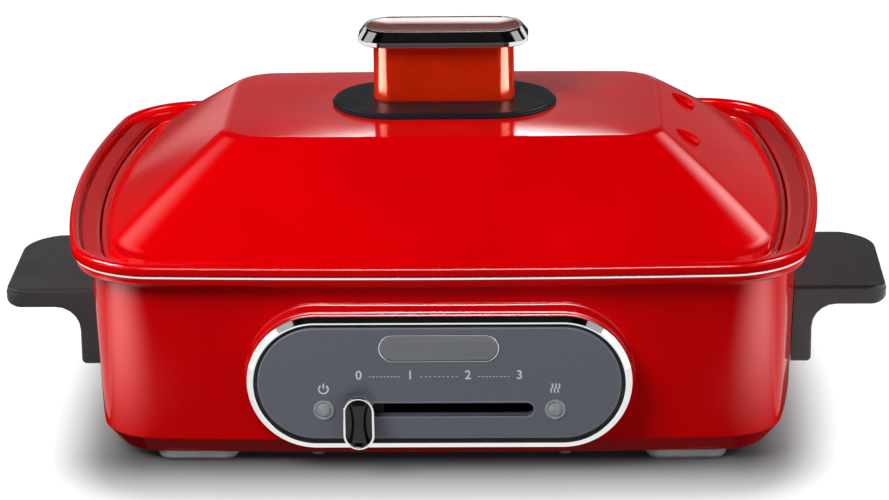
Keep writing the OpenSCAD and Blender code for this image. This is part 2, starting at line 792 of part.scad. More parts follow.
boss_y = -front_at(panel_z) - boss_rise;
face_t = 4.9;
face_sink = 1;
face_z = face_t - face_sink;
mount_t = 2;
mount_wall = 2.5;
mount_depth = 11.5;
trim_edge = 0.6;
trim_out_w = boss_w - 2 * trim_edge;
trim_out_h = boss_d - 2 * trim_edge;
face_w = trim_out_w - 2 * trim_w - 2 * groove_w;
face_h = trim_out_h - 2 * trim_w - 2 * groove_w;
slot_w = travel + 12;
lug_x = boss_w / 2 + 6;
lug_y = -(front_at(panel_z) - face_sag(lug_x) - sheet_t - 0.6);
lug_z = boss_y - lug_y;
stud_d = 3;
stud_l = 7;
post_x = lamp_span / 2 + 9;
rod_z = -9.5;

module on_panel() {
    translate([0, boss_y, panel_z]) rotate([90, 0, 0]) children();
}

module at_lamps() {
    for (s = [-1, 1]) translate([s * lamp_span / 2, -slot_drop, 0]) children();
}

module panel_mount() {
    back = -face_sink - mount_t;
    color(enamel) on_panel() difference() {
        union() {
            stadium_bar(boss_w, boss_d, -mount_depth, mount_depth);
            for (s = [-1, 1]) translate([s * (lug_x - 5) - 8, -6, lug_z - mount_t]) cube([16, 12, mount_t]);
        }
        stadium_bar(face_w + 2 * groove_w - 1, face_h + 2 * groove_w - 1, -face_sink, face_sink + cut);
        difference() {
            stadium_bar(boss_w - 2 * mount_wall, boss_d - 2 * mount_wall,
                -mount_depth - cut, mount_depth + cut + back);
            for (s = [-1, 1]) translate([s * post_x - 3, -slot_drop - rod_gap / 2 - 3, rod_z - 3])
                cube([6, rod_gap + 6, mount_depth]);
        }
        translate([0, -slot_drop, 0]) stadium_bar(slot_w + 2, slot_h + 2, -mount_depth, mount_depth);
        at_lamps() translate([0, 0, -mount_depth])
            cylinder(d = lamp_d + 2 * fit_gap, h = mount_depth + cut);
        for (s = [-1, 1]) translate([-post_x - 4, -slot_drop + s * rod_gap / 2, rod_z]) rotate([0, 90, 0])
            cylinder(d = rod_d + 2 * run_gap, h = 2 * post_x + 8);
        for (s = [-1, 1]) translate([s * lug_x, 0, lug_z - mount_t - cut])
            cylinder(d = stud_d + 2 * fit_gap, h = mount_t + 2 * cut);
    }
}

module panel_studs() {
    color(steel) on_panel() for (s = [-1, 1]) translate([s * lug_x, 0, lug_z - stud_l])
        cylinder(d = stud_d, h = stud_l + fit_gap);
}

module panel_nuts() {
    nut_h = 0.8 * stud_d;
    color(steel) on_panel() for (s = [-1, 1]) translate([s * lug_x, 0, lug_z - mount_t - nut_h])
        difference() {
            cylinder(d = 2.1 * stud_d, h = nut_h, $fn = 6);
            translate([0, 0, -cut]) cylinder(d = stud_d + fit_gap, h = nut_h + 2 * cut);
        }
}

// The ring leans inwards from a low outer edge to a narrow flat top
module panel_trim() {
    top = 0.8;
    color(bright) on_panel() stadium_ring(trim_out_w, trim_out_h)
        polygon([[0, 0], [0, 0.6], [top - trim_w, trim_rise - 0.1], [top - trim_w - 0.1, trim_rise],
                 [0.1 - trim_w, trim_rise], [-trim_w, trim_rise - 0.1], [-trim_w, 0]]);
}

module panel_face() {
    color(panel_grey) on_panel() difference() {
        union() {
            stadium_bar(face_w, face_h, -face_sink, face_t - 0.4);
            stadium_bar(face_w - 1, face_h - 1, -face_sink, face_t);
        }
        translate([0, -slot_drop, 0]) stadium_bar(slot_w, slot_h, -face_sink - cut, face_t + 2 * cut);
        at_lamps() translate([0, 0, -face_sink - cut])
            cylinder(d = lens_d + 2 * fit_gap, h = face_t + 2 * cut);
    }
}

badge_t = 0.6;
badge_ring_t = 0.9;
badge_line = 0.7;
badge_open_w = badge_w - 2 * badge_line;
badge_open_h = badge_h - 2 * badge_line;

module badge_plate() {
    color("#7b7f88") on_panel() translate([0, badge_up, 0])
        stadium_bar(badge_open_w - fit_gap, badge_open_h - fit_gap, face_z, badge_t);
}

module badge_ring() {
    color(bright) on_panel() translate([0, badge_up, 0]) difference() {
        stadium_bar(badge_w, badge_h, face_z, badge_ring_t);
        stadium_bar(badge_open_w, badge_open_h, face_z - cut, badge_ring_t + 2 * cut);
    }
}

lens_flange_d = lens_d + 3;
lamp_d = 6.4;
lamp_l = 11;

// Lens with a stepped flange in front of the face and a stem in its hole
module lens(s) {
    color("#a9adb4") on_panel() translate([s * lamp_span / 2, -slot_drop, 0]) {
        translate([0, 0, -face_sink + 0.4]) cylinder(d = lens_d, h = face_t);
        translate([0, 0, face_z]) cylinder(d = lens_flange_d, h = 0.7);
        translate([0, 0, face_z + 0.7]) cylinder(d1 = lens_d + 0.8, d2 = lens_d - 1, h = 0.7);
    }
}

module lens_power() {
    lens(-1);
}

module lens_heat() {
    lens(1);
}

// Glow lamp: a glass barrel with two wire pins
module lamp(s) {
    color("#d8783a") on_panel() translate([s * lamp_span / 2, -slot_drop, -face_sink - 0.2 - lamp_l]) {
        cylinder(d = lamp_d, h = lamp_l - lamp_d / 2);
        translate([0, 0, lamp_l - lamp_d / 2]) cylinder(d1 = lamp_d, d2 = lamp_d - 3, h = lamp_d / 2);
        for (x = [-1, 1]) translate([x * 1.4, 0, -4]) cylinder(d = 0.8, h = 4);
    }
}

module lamp_power() {
    lamp(-1);
}

module lamp_heat() {
    lamp(1);
}

// Slider: grip and ring outside, stem through the slot, carriage on two rods, rack behind it

off_x = -travel / 2;
grip_back = face_z + 1.4;
grip_front = face_z + slider_reach;
grip_drop = 3.4;
stem_w = 5;
stem_h = slot_h - 0.8;
stem_l = 5;
carriage_w = 20;
carriage_front = -6;
carriage_back = -13.5;
carriage_h = rod_gap + 6;
rack_t = 3.5;
rack_sink = 0.5;
rack_low = panel_z - slot_drop - carriage_h / 2 + 0.3;
rack_h = 4.4;
pitch = PI * tooth_m;
rack_root_y = boss_y - carriage_back + rack_t;
rack_pitch_y = rack_root_y + 1.25 * tooth_m;
pinion_r = tooth_m * pinion_teeth / 2;
pinion_y = rack_pitch_y + pinion_r;
pressure = 20;
press_gap = 0.04;

module on_slider() {
    translate([off_x, boss_y, panel_z - slot_drop]) rotate([90, 0, 0]) children();
}

// Rack teeth along X: gaps at whole pitches, so that a pinion tooth at x = 0 sits in a gap
module rack_profile(x0, x1) {
    half = pitch / 4 - backlash / 2;
    tip = half - tooth_m * tan(pressure);
    root = half + 1.25 * tooth_m * tan(pressure);
    top = rack_root_y + 2.25 * tooth_m;
    first = ceil(x0 / pitch + 0.5);
    last = floor(x1 / pitch - 0.5);
    polygon(concat(
        [[x1, rack_root_y], [x1, rack_root_y - rack_t], [x0, rack_root_y - rack_t], [x0, rack_root_y]],
        [for (k = [first:last - 1]) let (x = (k + 0.5) * pitch)
            each [[x - root, rack_root_y], [x - tip, top], [x + tip, top], [x + root, rack_root_y]]]));
}

module slider_carriage() {
    reach = travel / 2 + 2 * pitch;
    color("#2e2f31") {
        on_slider() difference() {
            union() {
                translate([-carriage_w / 2, -carriage_h / 2, carriage_back - rack_sink])
                    cube([carriage_w, carriage_h, carriage_front - carriage_back + rack_sink]);
                translate([-stem_w / 2, -stem_h / 2, carriage_front - cut])
                    cube([stem_w, stem_h, grip_back - carriage_front + cut + stem_l]);
            }
            for (s = [-1, 1]) translate([-carriage_w / 2 - cut, s * rod_gap / 2, rod_z]) rotate([0, 90, 0])
                cylinder(d = rod_d + 2 * run_gap, h = carriage_w + 2 * cut);
        }
        translate([0, 0, rack_low]) linear_extrude(rack_h) rack_profile(off_x - reach, off_x + reach);
    }
}

ring_t = 1.1;
ring_depth = 4;
pinch_r = 13.6;

module slider_grip() {
    w = slider_w - 2 * ring_t;
    h = slider_h - 2 * ring_t;
    waist_z = grip_back + 2;
    color("#1d1e20") on_slider() translate([0, -grip_drop, 0]) rotate([0, 0, 90]) difference() {
        union() {
            stadium_bar(h, w, grip_back, grip_front - 0.6 - grip_back);
            stadium_bar(slider_h - 0.6, slider_w - 0.6, waist_z, grip_front - ring_depth - waist_z);
        }
        for (s = [-1, 1]) translate([0, s * (w / 2 + pinch_r - 0.6), grip_front + 1.2]) rotate([0, 90, 0])
            cylinder(r = pinch_r, h = 0.72 * h, center = true);
        translate([grip_drop - stem_h / 2 - fit_gap, -stem_w / 2 - fit_gap, grip_back - cut])
            cube([stem_h + 2 * fit_gap, stem_w + 2 * fit_gap, stem_l + fit_gap + cut]);
    }
}

module slider_ring() {
    color(bright) on_slider() translate([0, -grip_drop, 0]) rotate([0, 0, 90]) difference() {
        stadium_bar(slider_h, slider_w, grip_front - ring_depth, ring_depth);
        stadium_bar(slider_h - 2 * ring_t, slider_w - 2 * ring_t,
            grip_front - ring_depth - cut, ring_depth + 2 * cut);
    }
}

module guide_rods() {
    color(steel) on_panel() for (s = [-1, 1]) translate([-post_x - 3, -slot_drop + s * rod_gap / 2, rod_z])
        rotate([0, 90, 0]) cylinder(d = rod_d, h = 2 * post_x + 6);
}

// Thermostat: a box on the base plate, its spindle upright, the pinion on top in mesh with the rack

thermostat_top = rack_low - 1.2;
thermostat_y = max(pinion_y, inner_flange + 1 - rim_d / 2 + thermostat_d / 2);
tab_l = 9;
tab_w = 14;
tab_t = 2;
tab_x = thermostat_w / 2 + 5;
collar_h = 0.8;
spindle_low = base_top + 3;
spindle_top = rack_low + rack_h + 1.2;

module thermostat_body() {
    color(ceramic) difference() {
        union() {
            translate([-thermostat_w / 2, thermostat_y - thermostat_d / 2, base_top])
                cube([thermostat_w, thermostat_d, thermostat_top - base_top]);
            translate([-thermostat_w / 2 - tab_l, thermostat_y - tab_w / 2, base_top])
                cube([thermostat_w + 2 * tab_l, tab_w, tab_t]);
            translate([0, pinion_y, thermostat_top]) cylinder(d = spindle_d + 5, h = collar_h);
        }
        translate([0, pinion_y, spindle_low - seat_gap]) cylinder(d = spindle_d + 2 * run_gap, h = rack_low);
        for (s = [-1, 1]) translate([s * tab_x, thermostat_y, base_top - cut])
            cylinder(d = small_screw_d + 2 * fit_gap, h = tab_t + 2 * cut);
    }
}

module thermostat_screws() {
    color(steel) for (s = [-1, 1]) translate([s * tab_x, thermostat_y, base_top + tab_t])
        screw(small_screw_d, tab_t);
}

module thermostat_spindle() {
    color(brass) translate([0, pinion_y, spindle_low])
        cylinder(d = spindle_d, h = spindle_top - spindle_low);
}

function involute(a) = tan(a) * 180 / PI - a;

// Half angle of a pinion tooth at radius r, in degrees
function tooth_half(r) = 90 / pinion_teeth - backlash / pinion_r * 90 / PI + involute(pressure)
    - involute(acos(min(1, pinion_r * cos(pressure) / r)));

module pinion_profile() {
    base = pinion_r * cos(pressure);
    root = pinion_r - 1.25 * tooth_m;
    tip = pinion_r + tooth_m;
    radii = [root, max(base, root + 0.1), pinion_r, tip];
    polygon([for (k = [0:pinion_teeth - 1]) let (a = 360 * k / pinion_teeth - 90)
        each concat([for (r = radii) polar(r, a - tooth_half(r))],
            [for (i = [3:-1:0]) polar(radii[i], a + tooth_half(radii[i]))])]);
}

module thermostat_pinion() {
    color("#e6e3da") translate([0, pinion_y, rack_low]) difference() {
        linear_extrude(rack_h) pinion_profile();
        translate([0, 0, -cut]) cylinder(d = spindle_d + press_gap, h = rack_h + 2 * cut);
    }
}

// Sensing bulb on the tray, joined to the thermostat by a capillary tube

bulb_d = 5;
bulb_l = 70;
bulb_stand = 1;
bulb_z = tray_z + tray_t + bulb_stand + bulb_d / 2;
clip_l = 8;
capillary_x = -50;
capillary_y = -50;
capillary_d = 1.6;
capillary_up = 7;
capillary_turn = 12;

module sensing_bulb() {
    color("#b87333") translate([-bulb_l / 2, 0, bulb_z]) rotate([0, 90, 0])
        cylinder(d = bulb_d, h = bulb_l);
}

module bulb_clips() {
    low = tray_z + tray_t;
    color(steel) for (s = [-1, 1]) translate([s * bulb_l / 4, 0, 0]) difference() {
        translate([-clip_l / 2, -bulb_d, low]) cube([clip_l, 2 * bulb_d, bulb_z - low + bulb_stand]);
        translate([-clip_l / 2 - cut, 0, bulb_z]) rotate([0, 90, 0])
            cylinder(d = bulb_d + fit_gap, h = clip_l + 2 * cut);
    }
}

module capillary_tube() {
    x = capillary_x;
    y = capillary_y;
    r = capillary_turn;
    out = -thermostat_w / 2;
    low = base_top + capillary_up;
    color("#b87333") wire([
        [out, thermostat_y - r, low], [out - r, thermostat_y - r, low], [x, y - r, low + r / 6],
        [x, y, low + r / 4], [x, y, tray_z], [x, y, bulb_z - r / 12], [x, y + r / 2, bulb_z],
        [x, -r, bulb_z], [x, 0, bulb_z], [x + r / 2, 0, bulb_z], [-bulb_l / 2, 0, bulb_z]], capillary_d, 6);
}

// Power inlet at the back: flanged block through the wall, shroud outside, two pins

inlet_flange_t = 2.4;
inlet_face = front_at(inlet_z + inlet_h) + 0.3;
inlet_reach = grip_front - boss_y;
inlet_depth = 8;
pin_tail = 2;
shroud_t = 2.4;
pin_l = 15;
pin_end = inlet_face - inlet_depth - pin_tail;
inlet_screw_x = inlet_block_w / 2 + 5;

// Block with rounded upright edges, along +Y from y
module inlet_bar(w, h, y, l) {
    r = 4;
    translate([0, y, inlet_z]) rotate([-90, 0, 0]) linear_extrude(l) {
        square([w - 2 * r, h], center = true);
        square([w, h - 2 * r], center = true);
        for (sx = [-1, 1], sy = [-1, 1]) translate([sx * (w / 2 - r), sy * (h / 2 - r)]) circle(r = r);
    }
}

module power_inlet() {
    color("#1f2022") difference() {
        union() {
            inlet_bar(inlet_block_w + 20, inlet_block_h + 6, inlet_face, inlet_flange_t);
            inlet_bar(inlet_w, inlet_h, inlet_face, inlet_reach - inlet_face);
            inlet_bar(inlet_block_w, inlet_block_h, inlet_face - inlet_depth, inlet_depth + 1);
        }
        inlet_bar(inlet_w - 2 * shroud_t, inlet_h - 2 * shroud_t, inlet_face + 0.5, inlet_reach);
        for (s = [-1, 1]) translate([s * pin_span / 2, inlet_face, inlet_z]) rotate([-90, 0, 0])
            translate([0, 0, -inlet_depth - cut]) cylinder(d = pin_d + fit_gap, h = inlet_depth + pin_l);
        for (s = [-1, 1]) translate([s * inlet_screw_x, inlet_face - cut, inlet_z]) rotate([-90, 0, 0])
            cylinder(d = small_screw_d + 2 * fit_gap, h = inlet_flange_t + 2 * cut);
    }
}

module inlet_pins() {
    shank = inlet_depth + pin_tail + pin_l - 1;
    color(brass) for (s = [-1, 1]) translate([s * pin_span / 2, pin_end, inlet_z]) rotate([-90, 0, 0]) {
        cylinder(d = pin_d, h = shank);
        translate([0, 0, shank]) cylinder(d1 = pin_d, d2 = pin_d - 1.6, h = 1);
    }
}

module inlet_screws() {
    color(steel) for (s = [-1, 1]) translate([s * inlet_screw_x, inlet_face + inlet_flange_t, inlet_z])
        rotate([-90, 0, 0]) screw(small_screw_d, inlet_flange_t + fit_gap);
}

// Thermal fuse in the lead between the thermostat and the heater, on a bracket

fuse_x = -62;
fuse_y = 20;
fuse_z = base_top + 4;
fuse_d = 5;
fuse_l = 18;
fuse_tail = 4;

module thermal_fuse() {
    color("#cfc9b8") translate([fuse_x, fuse_y, fuse_z]) rotate([-90, 0, 0]) {
        cylinder(d = fuse_d, h = fuse_l);
        translate([0, 0, -fuse_tail]) cylinder(d = fuse_d / 4, h = fuse_l + 2 * fuse_tail);
    }
    color(steel) translate([fuse_x - fuse_d, fuse_y + fuse_l / 3, base_top]) difference() {
        cube([2 * fuse_d, fuse_l / 3, fuse_z - base_top]);
        translate([fuse_d, -cut, fuse_z - base_top]) rotate([-90, 0, 0])
            cylinder(d = fuse_d, h = fuse_l / 3 + 2 * cut);
    }
}

// Leads along the base plate

lead_d = 3;
lead_lie = 0.4;
lead_z = base_top + lead_d / 2 + lead_lie;
lead_end_z = lead_z + lead_d / 3;
lead_x = 70;
lead_turn = 10;

// First points of a lead at a pin: straight off the pin, then down behind the tray
function lead_start(x) = [
    [x, pin_end, inlet_z],
    [x, pin_end - lead_turn / 2, inlet_z],
    [x, pin_end - 0.6 * lead_turn, inlet_z - 1.2 * lead_turn]];

// Last points of a lead at the heater's leg on side s
function lead_finish(s) =
    let (x = s * leg_span / 2)
    let (y = loop_d / 2)
    [[x, y, lead_z], [x, y, leg_low_z - terminal_l]];

module live_lead() {
    r = lead_turn;
    x = thermostat_w / 2;
    y = thermostat_y + 1.2 * r;
    color("#7a4a2a") wire(concat(lead_start(pin_span / 2), [
        [1.6 * r, pin_end - 1.8 * r, lead_z + 0.6 * r], [4 * r, pin_end - 3 * r, lead_z],
        [lead_x, loop_d / 2, lead_z], [lead_x, 0, lead_z], [lead_x, -loop_d / 2, lead_z],
        [lead_x - 2 * r, y, lead_end_z], [x + r, y, lead_end_z], [x, y, lead_end_z]]), lead_d);
}

module switched_lead() {
    r = lead_turn;
    x = -thermostat_w / 2;
    y = thermostat_y + 1.4 * r;
    fuse_end = fuse_y + fuse_l + fuse_tail;
    color("#202124") {
        wire([
            [x, y, lead_end_z], [x - r, y, lead_end_z], [-lead_x, -loop_d / 2 + r, lead_z],
            [fuse_x, -2 * r, lead_z], [fuse_x, fuse_y - fuse_tail - r, fuse_z],
            [fuse_x, fuse_y - fuse_tail, fuse_z]], lead_d);
        wire(concat([
            [fuse_x, fuse_end, fuse_z], [fuse_x, fuse_end + r, fuse_z],
            [fuse_x + r, loop_d / 2, lead_end_z], [-leg_span / 2 - r, loop_d / 2, lead_z]],
            lead_finish(-1)), lead_d);
    }
}

module neutral_lead() {
    r = lead_turn;
    color("#2b5c9a") wire(concat(lead_start(-pin_span / 2), [
        [-0.4 * r, pin_end - 2 * r, lead_z + 0.6 * r], [leg_span / 2, pin_end - 3.4 * r, lead_z]],
        lead_finish(1)), lead_d);
}

housing();
base_plate();
foot_front_left();
foot_front_right();
foot_rear_left();
foot_rear_right();
rim_frame();
reflector_tray();
tray_screws();
heating_element();
element_brackets();
element_bushes();
thermostat_body();
thermostat_screws();
thermostat_spindle();
thermostat_pinion();
sensing_bulb();
bulb_clips();
capillary_tube();
thermal_fuse();
cooking_pan();
lid_shell();
knob_plate();
knob_body();
knob_cap();
knob_backing();
knob_screws();
handle_left();
handle_right();
handle_screws();
panel_mount();
panel_studs();
panel_nuts();
panel_trim();
panel_face();
badge_plate();
badge_ring();
lens_power();
lens_heat();
lamp_power();
lamp_heat();
guide_rods();
slider_carriage();
slider_grip();
slider_ring();
power_inlet();
inlet_pins();
inlet_screws();
base_screws();
live_lead();
switched_lead();
neutral_lead();
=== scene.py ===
"""Looks of a red countertop multicooker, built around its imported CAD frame.

The frame is in metres with +Z up and the panel towards -Y. Lengths below are in millimetres, and every surface
is turned to metres once, when its mesh is made.
"""

import math

import bmesh
import bpy
import numpy as np
from mathutils import Matrix, Vector


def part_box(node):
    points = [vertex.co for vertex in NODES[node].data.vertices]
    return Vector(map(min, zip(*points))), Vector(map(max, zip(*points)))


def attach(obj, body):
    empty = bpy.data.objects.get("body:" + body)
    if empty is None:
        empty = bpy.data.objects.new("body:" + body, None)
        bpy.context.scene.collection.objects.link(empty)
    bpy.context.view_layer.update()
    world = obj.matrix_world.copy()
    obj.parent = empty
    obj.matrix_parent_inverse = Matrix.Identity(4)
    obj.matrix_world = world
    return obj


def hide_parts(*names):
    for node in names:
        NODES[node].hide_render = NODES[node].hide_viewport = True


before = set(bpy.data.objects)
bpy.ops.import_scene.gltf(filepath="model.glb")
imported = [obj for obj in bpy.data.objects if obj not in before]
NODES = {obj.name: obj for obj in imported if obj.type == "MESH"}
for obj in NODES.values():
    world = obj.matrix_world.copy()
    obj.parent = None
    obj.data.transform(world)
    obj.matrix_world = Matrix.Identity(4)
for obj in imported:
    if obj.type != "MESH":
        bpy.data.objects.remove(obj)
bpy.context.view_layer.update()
MM = 0.001

# Rim, housing and lid
RIM_W, RIM_D, RIM_R = 338.0, 260.0, 39.0
SIDE_BOW, FACE_BOW = 528.0, 2800.0
WALL_SIDE_BOW, WALL_FACE_BOW = 520, 2790.0
WALL_TOP, WALL_FOOT = (8.8, 84.0), (11.4, 13.0)
LID_HALF, LID_TOP_HALF = (152.4, 113.4), (97.4, 54.5)
LID_R, LID_TOP_R = 34.0, 17.0
LID_SIDE_BOW, LID_TOP_SIDE_BOW, LID_FACE_BOW = 511.4, 4000, 2783.4
DOME_Z, LID_TOP_Z = 91.9, 131.3
EASE, CROWN, CROWN_RUN = 0.035, 0.55, 0.4
PAN_INSET = 18.8
INLET_HALF, INLET_R, INLET_Z = (20.2, 13.2), 2.0, 36.0
LOUVRE_L, LOUVRE_HALF_W, LOUVRE_RISE, LOUVRE_AT = 12.5, 3.9, 2.1, 0.86

# Knob
KNOB_HALF, CAP_HALF = (32.0, 9.5), (32.0, 11.0)
KNOB_Z, CAP_Z, CAP_TOP_Z = 133.9, 161.1, 168.0
FOOT_PLATE, KNOB_R = (102, 57), 8.6
CAP_SIDE_BOW, CAP_FACE_BOW = 700, 1400

# Handles
HANDLE_L, HANDLE_TOP, HANDLE_UNDER, HANDLE_LOW = 80.0, 55.2, 46.5, 19.2
HANDLE_TIP, HANDLE_LEG = 200.0, 166.1

# Panel, in its own frame: x to the right, y up, z out of the front
PANEL_Y, PANEL_Z = -124.491, 42.8
BOSS, TRIM, FACE = (167.0, 61.2), (165.8, 60.0), (156.6, 50.8)
PANEL_WINDOW, FACE_FRONT = (166.0, 59.6), 3.9
SLOT_Y, SLOT = -12.0, (81.0, 6.0)
LENS_X = 49.8
MARKS_X = (-34.5, -12.4, 12.4, 34.5)
GRIP_X, GRIP_Y, GRIP = -34.5, -15.4, (13.4, 24.0)
LAMP_SIGN_Y, SCALE_Y = -2.4, 3.8
INK_T, SIGN_W, WAVE_W, DASH_W = 0.05, 0.65, 0.6, 0.26
REAR_CUT_Y = -0.1175


# Shapes

def mix(a, b, t):
    """The value a share t of the way from a to b."""
    return a + (b - a) * t


def quarter_ring(quarter):
    """Whole rings from first quarters, which run from the x axis to the y axis: three mirrored copies follow."""
    flips = [np.array(f) for f in ((1, 1), (-1, 1), (-1, -1), (1, -1))]
    return np.concatenate([
        quarter[:, :-1] * flips[0], (quarter * flips[1])[:, :0:-1],
        quarter[:, :-1] * flips[2], (quarter * flips[3])[:, :0:-1],
    ], axis=1)


def bowed_outline(half_w, half_d, corner, side_bow, face_bow, counts=(16, 22, 24)):
    """Rings round a bowed rectangle, one for each value in the arrays.

    A quarter is half a side arc of radius side_bow, a corner arc and half a face arc of radius face_bow. The
    corner's middle is where the circles of radius bow - corner about the two arcs' middles meet, so no arc leaves
    the last with a kink.
    """
    half_w, half_d, corner, side_bow, face_bow = np.broadcast_arrays(
        *[np.atleast_1d(np.asarray(v, float)) for v in (half_w, half_d, corner, side_bow, face_bow)])
    none = np.zeros_like(half_w)
    side = np.stack([half_w - side_bow, none], -1)
    face = np.stack([none, half_d - face_bow], -1)
    span = np.linalg.norm(face - side, axis=-1)
    unit = (face - side) / span[:, None]
    along = ((side_bow - corner) ** 2 - (face_bow - corner) ** 2 + span ** 2) / (2 * span)
    across = np.sqrt((side_bow - corner) ** 2 - along ** 2)
    middle = side + along[:, None] * unit + across[:, None] * np.stack([-unit[:, 1], unit[:, 0]], -1)
    first = np.arctan2(middle[:, 1], middle[:, 0] - side[:, 0])
    last = np.arctan2(middle[:, 1] - face[:, 1], middle[:, 0])
    arcs = []
    for centre, radius, start, end, n in (
            (side, side_bow, none, first, counts[0]), (middle, corner, first, last, counts[1]),
            (face, face_bow, last, none + math.pi / 2, counts[2] + 1)):
        share = np.arange(n) / (counts[2] if centre is face else n)
        angle = mix(start[:, None], end[:, None], share[None, :])
        arcs.append(centre[:, None, :] + radius[:, None, None] * np.stack([np.cos(angle), np.sin(angle)], -1))
    return quarter_ring(np.concatenate(arcs, axis=1))


def rim_outline(inset):
    """The rim's outline drawn in by each inset; bows and corners shrink with it, so the gap stays even."""
    inset = np.asarray(inset, float)
    return bowed_outline(RIM_W / 2 - inset, RIM_D / 2 - inset, np.maximum(RIM_R - inset, 6),
                         SIDE_BOW - inset, FACE_BOW - inset)


def round_outline(half_w, half_d, corner, straight=6, turn=16):
    """Rings round rectangles with round corners: a quarter is half a side, a corner arc and half a face. A stadium
    has corner = the shorter half."""
    half_w, half_d, corner = np.broadcast_arrays(
        *[np.atleast_1d(np.asarray(v, float)) for v in (half_w, half_d, corner)])
    share = (np.arange(straight) / straight)[None, :]
    angle = (np.arange(turn) / turn * math.pi / 2)[None, :]
    cx, cy = (half_w - corner)[:, None], (half_d - corner)[:, None]
    side = np.stack([np.broadcast_to(half_w[:, None], (len(half_w), straight)), cy * share], -1)
    bend = np.stack([cx + corner[:, None] * np.cos(angle), cy + corner[:, None] * np.sin(angle)], -1)
    back = (np.arange(straight + 1) / straight)[None, :]
    face = np.stack([cx * (1 - back), np.broadcast_to(half_d[:, None], (len(half_d), straight + 1))], -1)
    return quarter_ring(np.concatenate([side, bend, face], axis=1))


def stadium(size, inset, **counts):
    """Stadium rings of a length and width, drawn in by each inset."""
    inset = np.asarray(inset, float)
    half = np.array(size) / 2
    return round_outline(half[0] - inset, half[1] - inset, half.min() - inset, **counts)


def eased(corners, closed=True, steps=6, ease=0.35):
    """Section points from corners (a, b, radius): each corner becomes the arc of that radius tangent to both its
    sides, with one point set back on each side so that the shading of a flat stays flat up to the arc."""
    corners = np.array(corners, float)
    place, radius = corners[:, :2], corners[:, 2].copy()
    back, on = np.roll(place, 1, 0) - place, np.roll(place, -1, 0) - place
    if not closed:
        back[0], on[-1] = -on[0], -back[-1]
        radius[[0, -1]] = 0
    back_l, on_l = np.linalg.norm(back, axis=1), np.linalg.norm(on, axis=1)
    back, on = back / back_l[:, None], on / on_l[:, None]
    inner = np.arccos(np.clip((back * on).sum(1), -1, 1))
    reach = np.minimum(radius / np.tan(np.maximum(inner / 2, 1e-6)), 0.47 * np.minimum(back_l, on_l))
    radius = reach * np.tan(np.minimum(inner / 2, 1.5707))
    bisector = back + on
    bisector /= np.maximum(np.linalg.norm(bisector, axis=1), 1e-9)[:, None]
    middle = place + bisector * np.hypot(reach, radius)[:, None]
    sweep = np.maximum(math.pi - inner, 1e-6)[:, None]
    t = np.linspace(0, 1, steps + 1)[None, :]
    near, far = np.sin((1 - t) * sweep) / np.sin(sweep), np.sin(t * sweep) / np.sin(sweep)
    start, end = place + back * reach[:, None], place + on * reach[:, None]
    arc = (middle[:, None, :] + near[..., None] * (start - middle)[:, None, :]
           + far[..., None] * (end - middle)[:, None, :])
    arc = np.where((reach < 1e-6)[:, None, None], place[:, None, :], arc)
    set_back = np.minimum(ease, 0.02 * np.minimum(back_l, on_l) + 0.02)[:, None]
    rows = np.concatenate([(start + back * set_back)[:, None], arc, (end + on * set_back)[:, None]], 1)
    if not closed:
        rows[0], rows[-1] = place[0], place[-1]
    rows = rows.reshape(-1, 2)
    keep = np.linalg.norm(rows - np.roll(rows, 1, 0), axis=1) > 1e-5
    return rows[keep | (np.arange(len(rows)) == 0)]


def lifted(rings, heights):
    """Rings in the plane set at their heights: a grid of points (row, column, xyz)."""
    heights = np.broadcast_to(np.asarray(heights, float)[:, None, None], rings.shape[:2] + (1,))
    return np.concatenate([rings, heights], -1)


def round_rim(section):
    """A section (inset, height) carried round the rim's outline."""
    return lifted(rim_outline(section[:, 0]), section[:, 1])


def round_stadium(size, section, **counts):
    """A section (inset, height) carried round a stadium."""
    return lifted(stadium(size, section[:, 0], **counts), section[:, 1])


def on_panel(grid):
    """Points of the panel's own frame (x right, y up, z out of the front) in the object's frame."""
    return np.stack([grid[..., 0], PANEL_Y - grid[..., 2], PANEL_Z + grid[..., 1]], -1)


def ribbon(path, width, thick):
    """Flat bar along a path in the plane: at each point the bar's rectangle stands across the path's direction."""
    path = np.asarray(path, float)
    run = np.gradient(path, axis=0)
    run /= np.linalg.norm(run, axis=1)[:, None]
    side = np.stack([-run[:, 1], run[:, 0]], -1) * width / 2
    flat = np.stack([path - side, path + side, path + side, path - side], 1)
    rise = np.broadcast_to(np.array([0, 0, thick, thick])[None, :, None], flat.shape[:2] + (1,))
    return np.concatenate([flat, rise], -1)


# Meshes

def placed(name, data):
    """Object of that name at the origin, in the scene."""
    thing = bpy.data.objects.new(name, data)
    bpy.context.scene.collection.objects.link(thing)
    return thing


def square(name, half):
    """Mesh of one level square."""
    mesh = bpy.data.meshes.new(name)
    mesh.from_pydata([(-half, -half, 0), (half, -half, 0), (half, half, 0), (-half, half, 0)], [], [(0, 1, 2, 3)])
    return mesh


def tidy_mesh(mesh, sharp, turn=True):
    """Merges doubles, turns the faces outwards and shades smooth up to the sharp angle, in degrees."""
    work = bmesh.new()
    work.from_mesh(mesh)
    bmesh.ops.remove_doubles(work, verts=work.verts, dist=2e-6)
    if turn:
        bmesh.ops.recalc_face_normals(work, faces=work.faces)
    work.to_mesh(mesh)
    work.free()
    mesh.shade_smooth()
    mesh.set_sharp_from_angle(angle=math.radians(sharp))


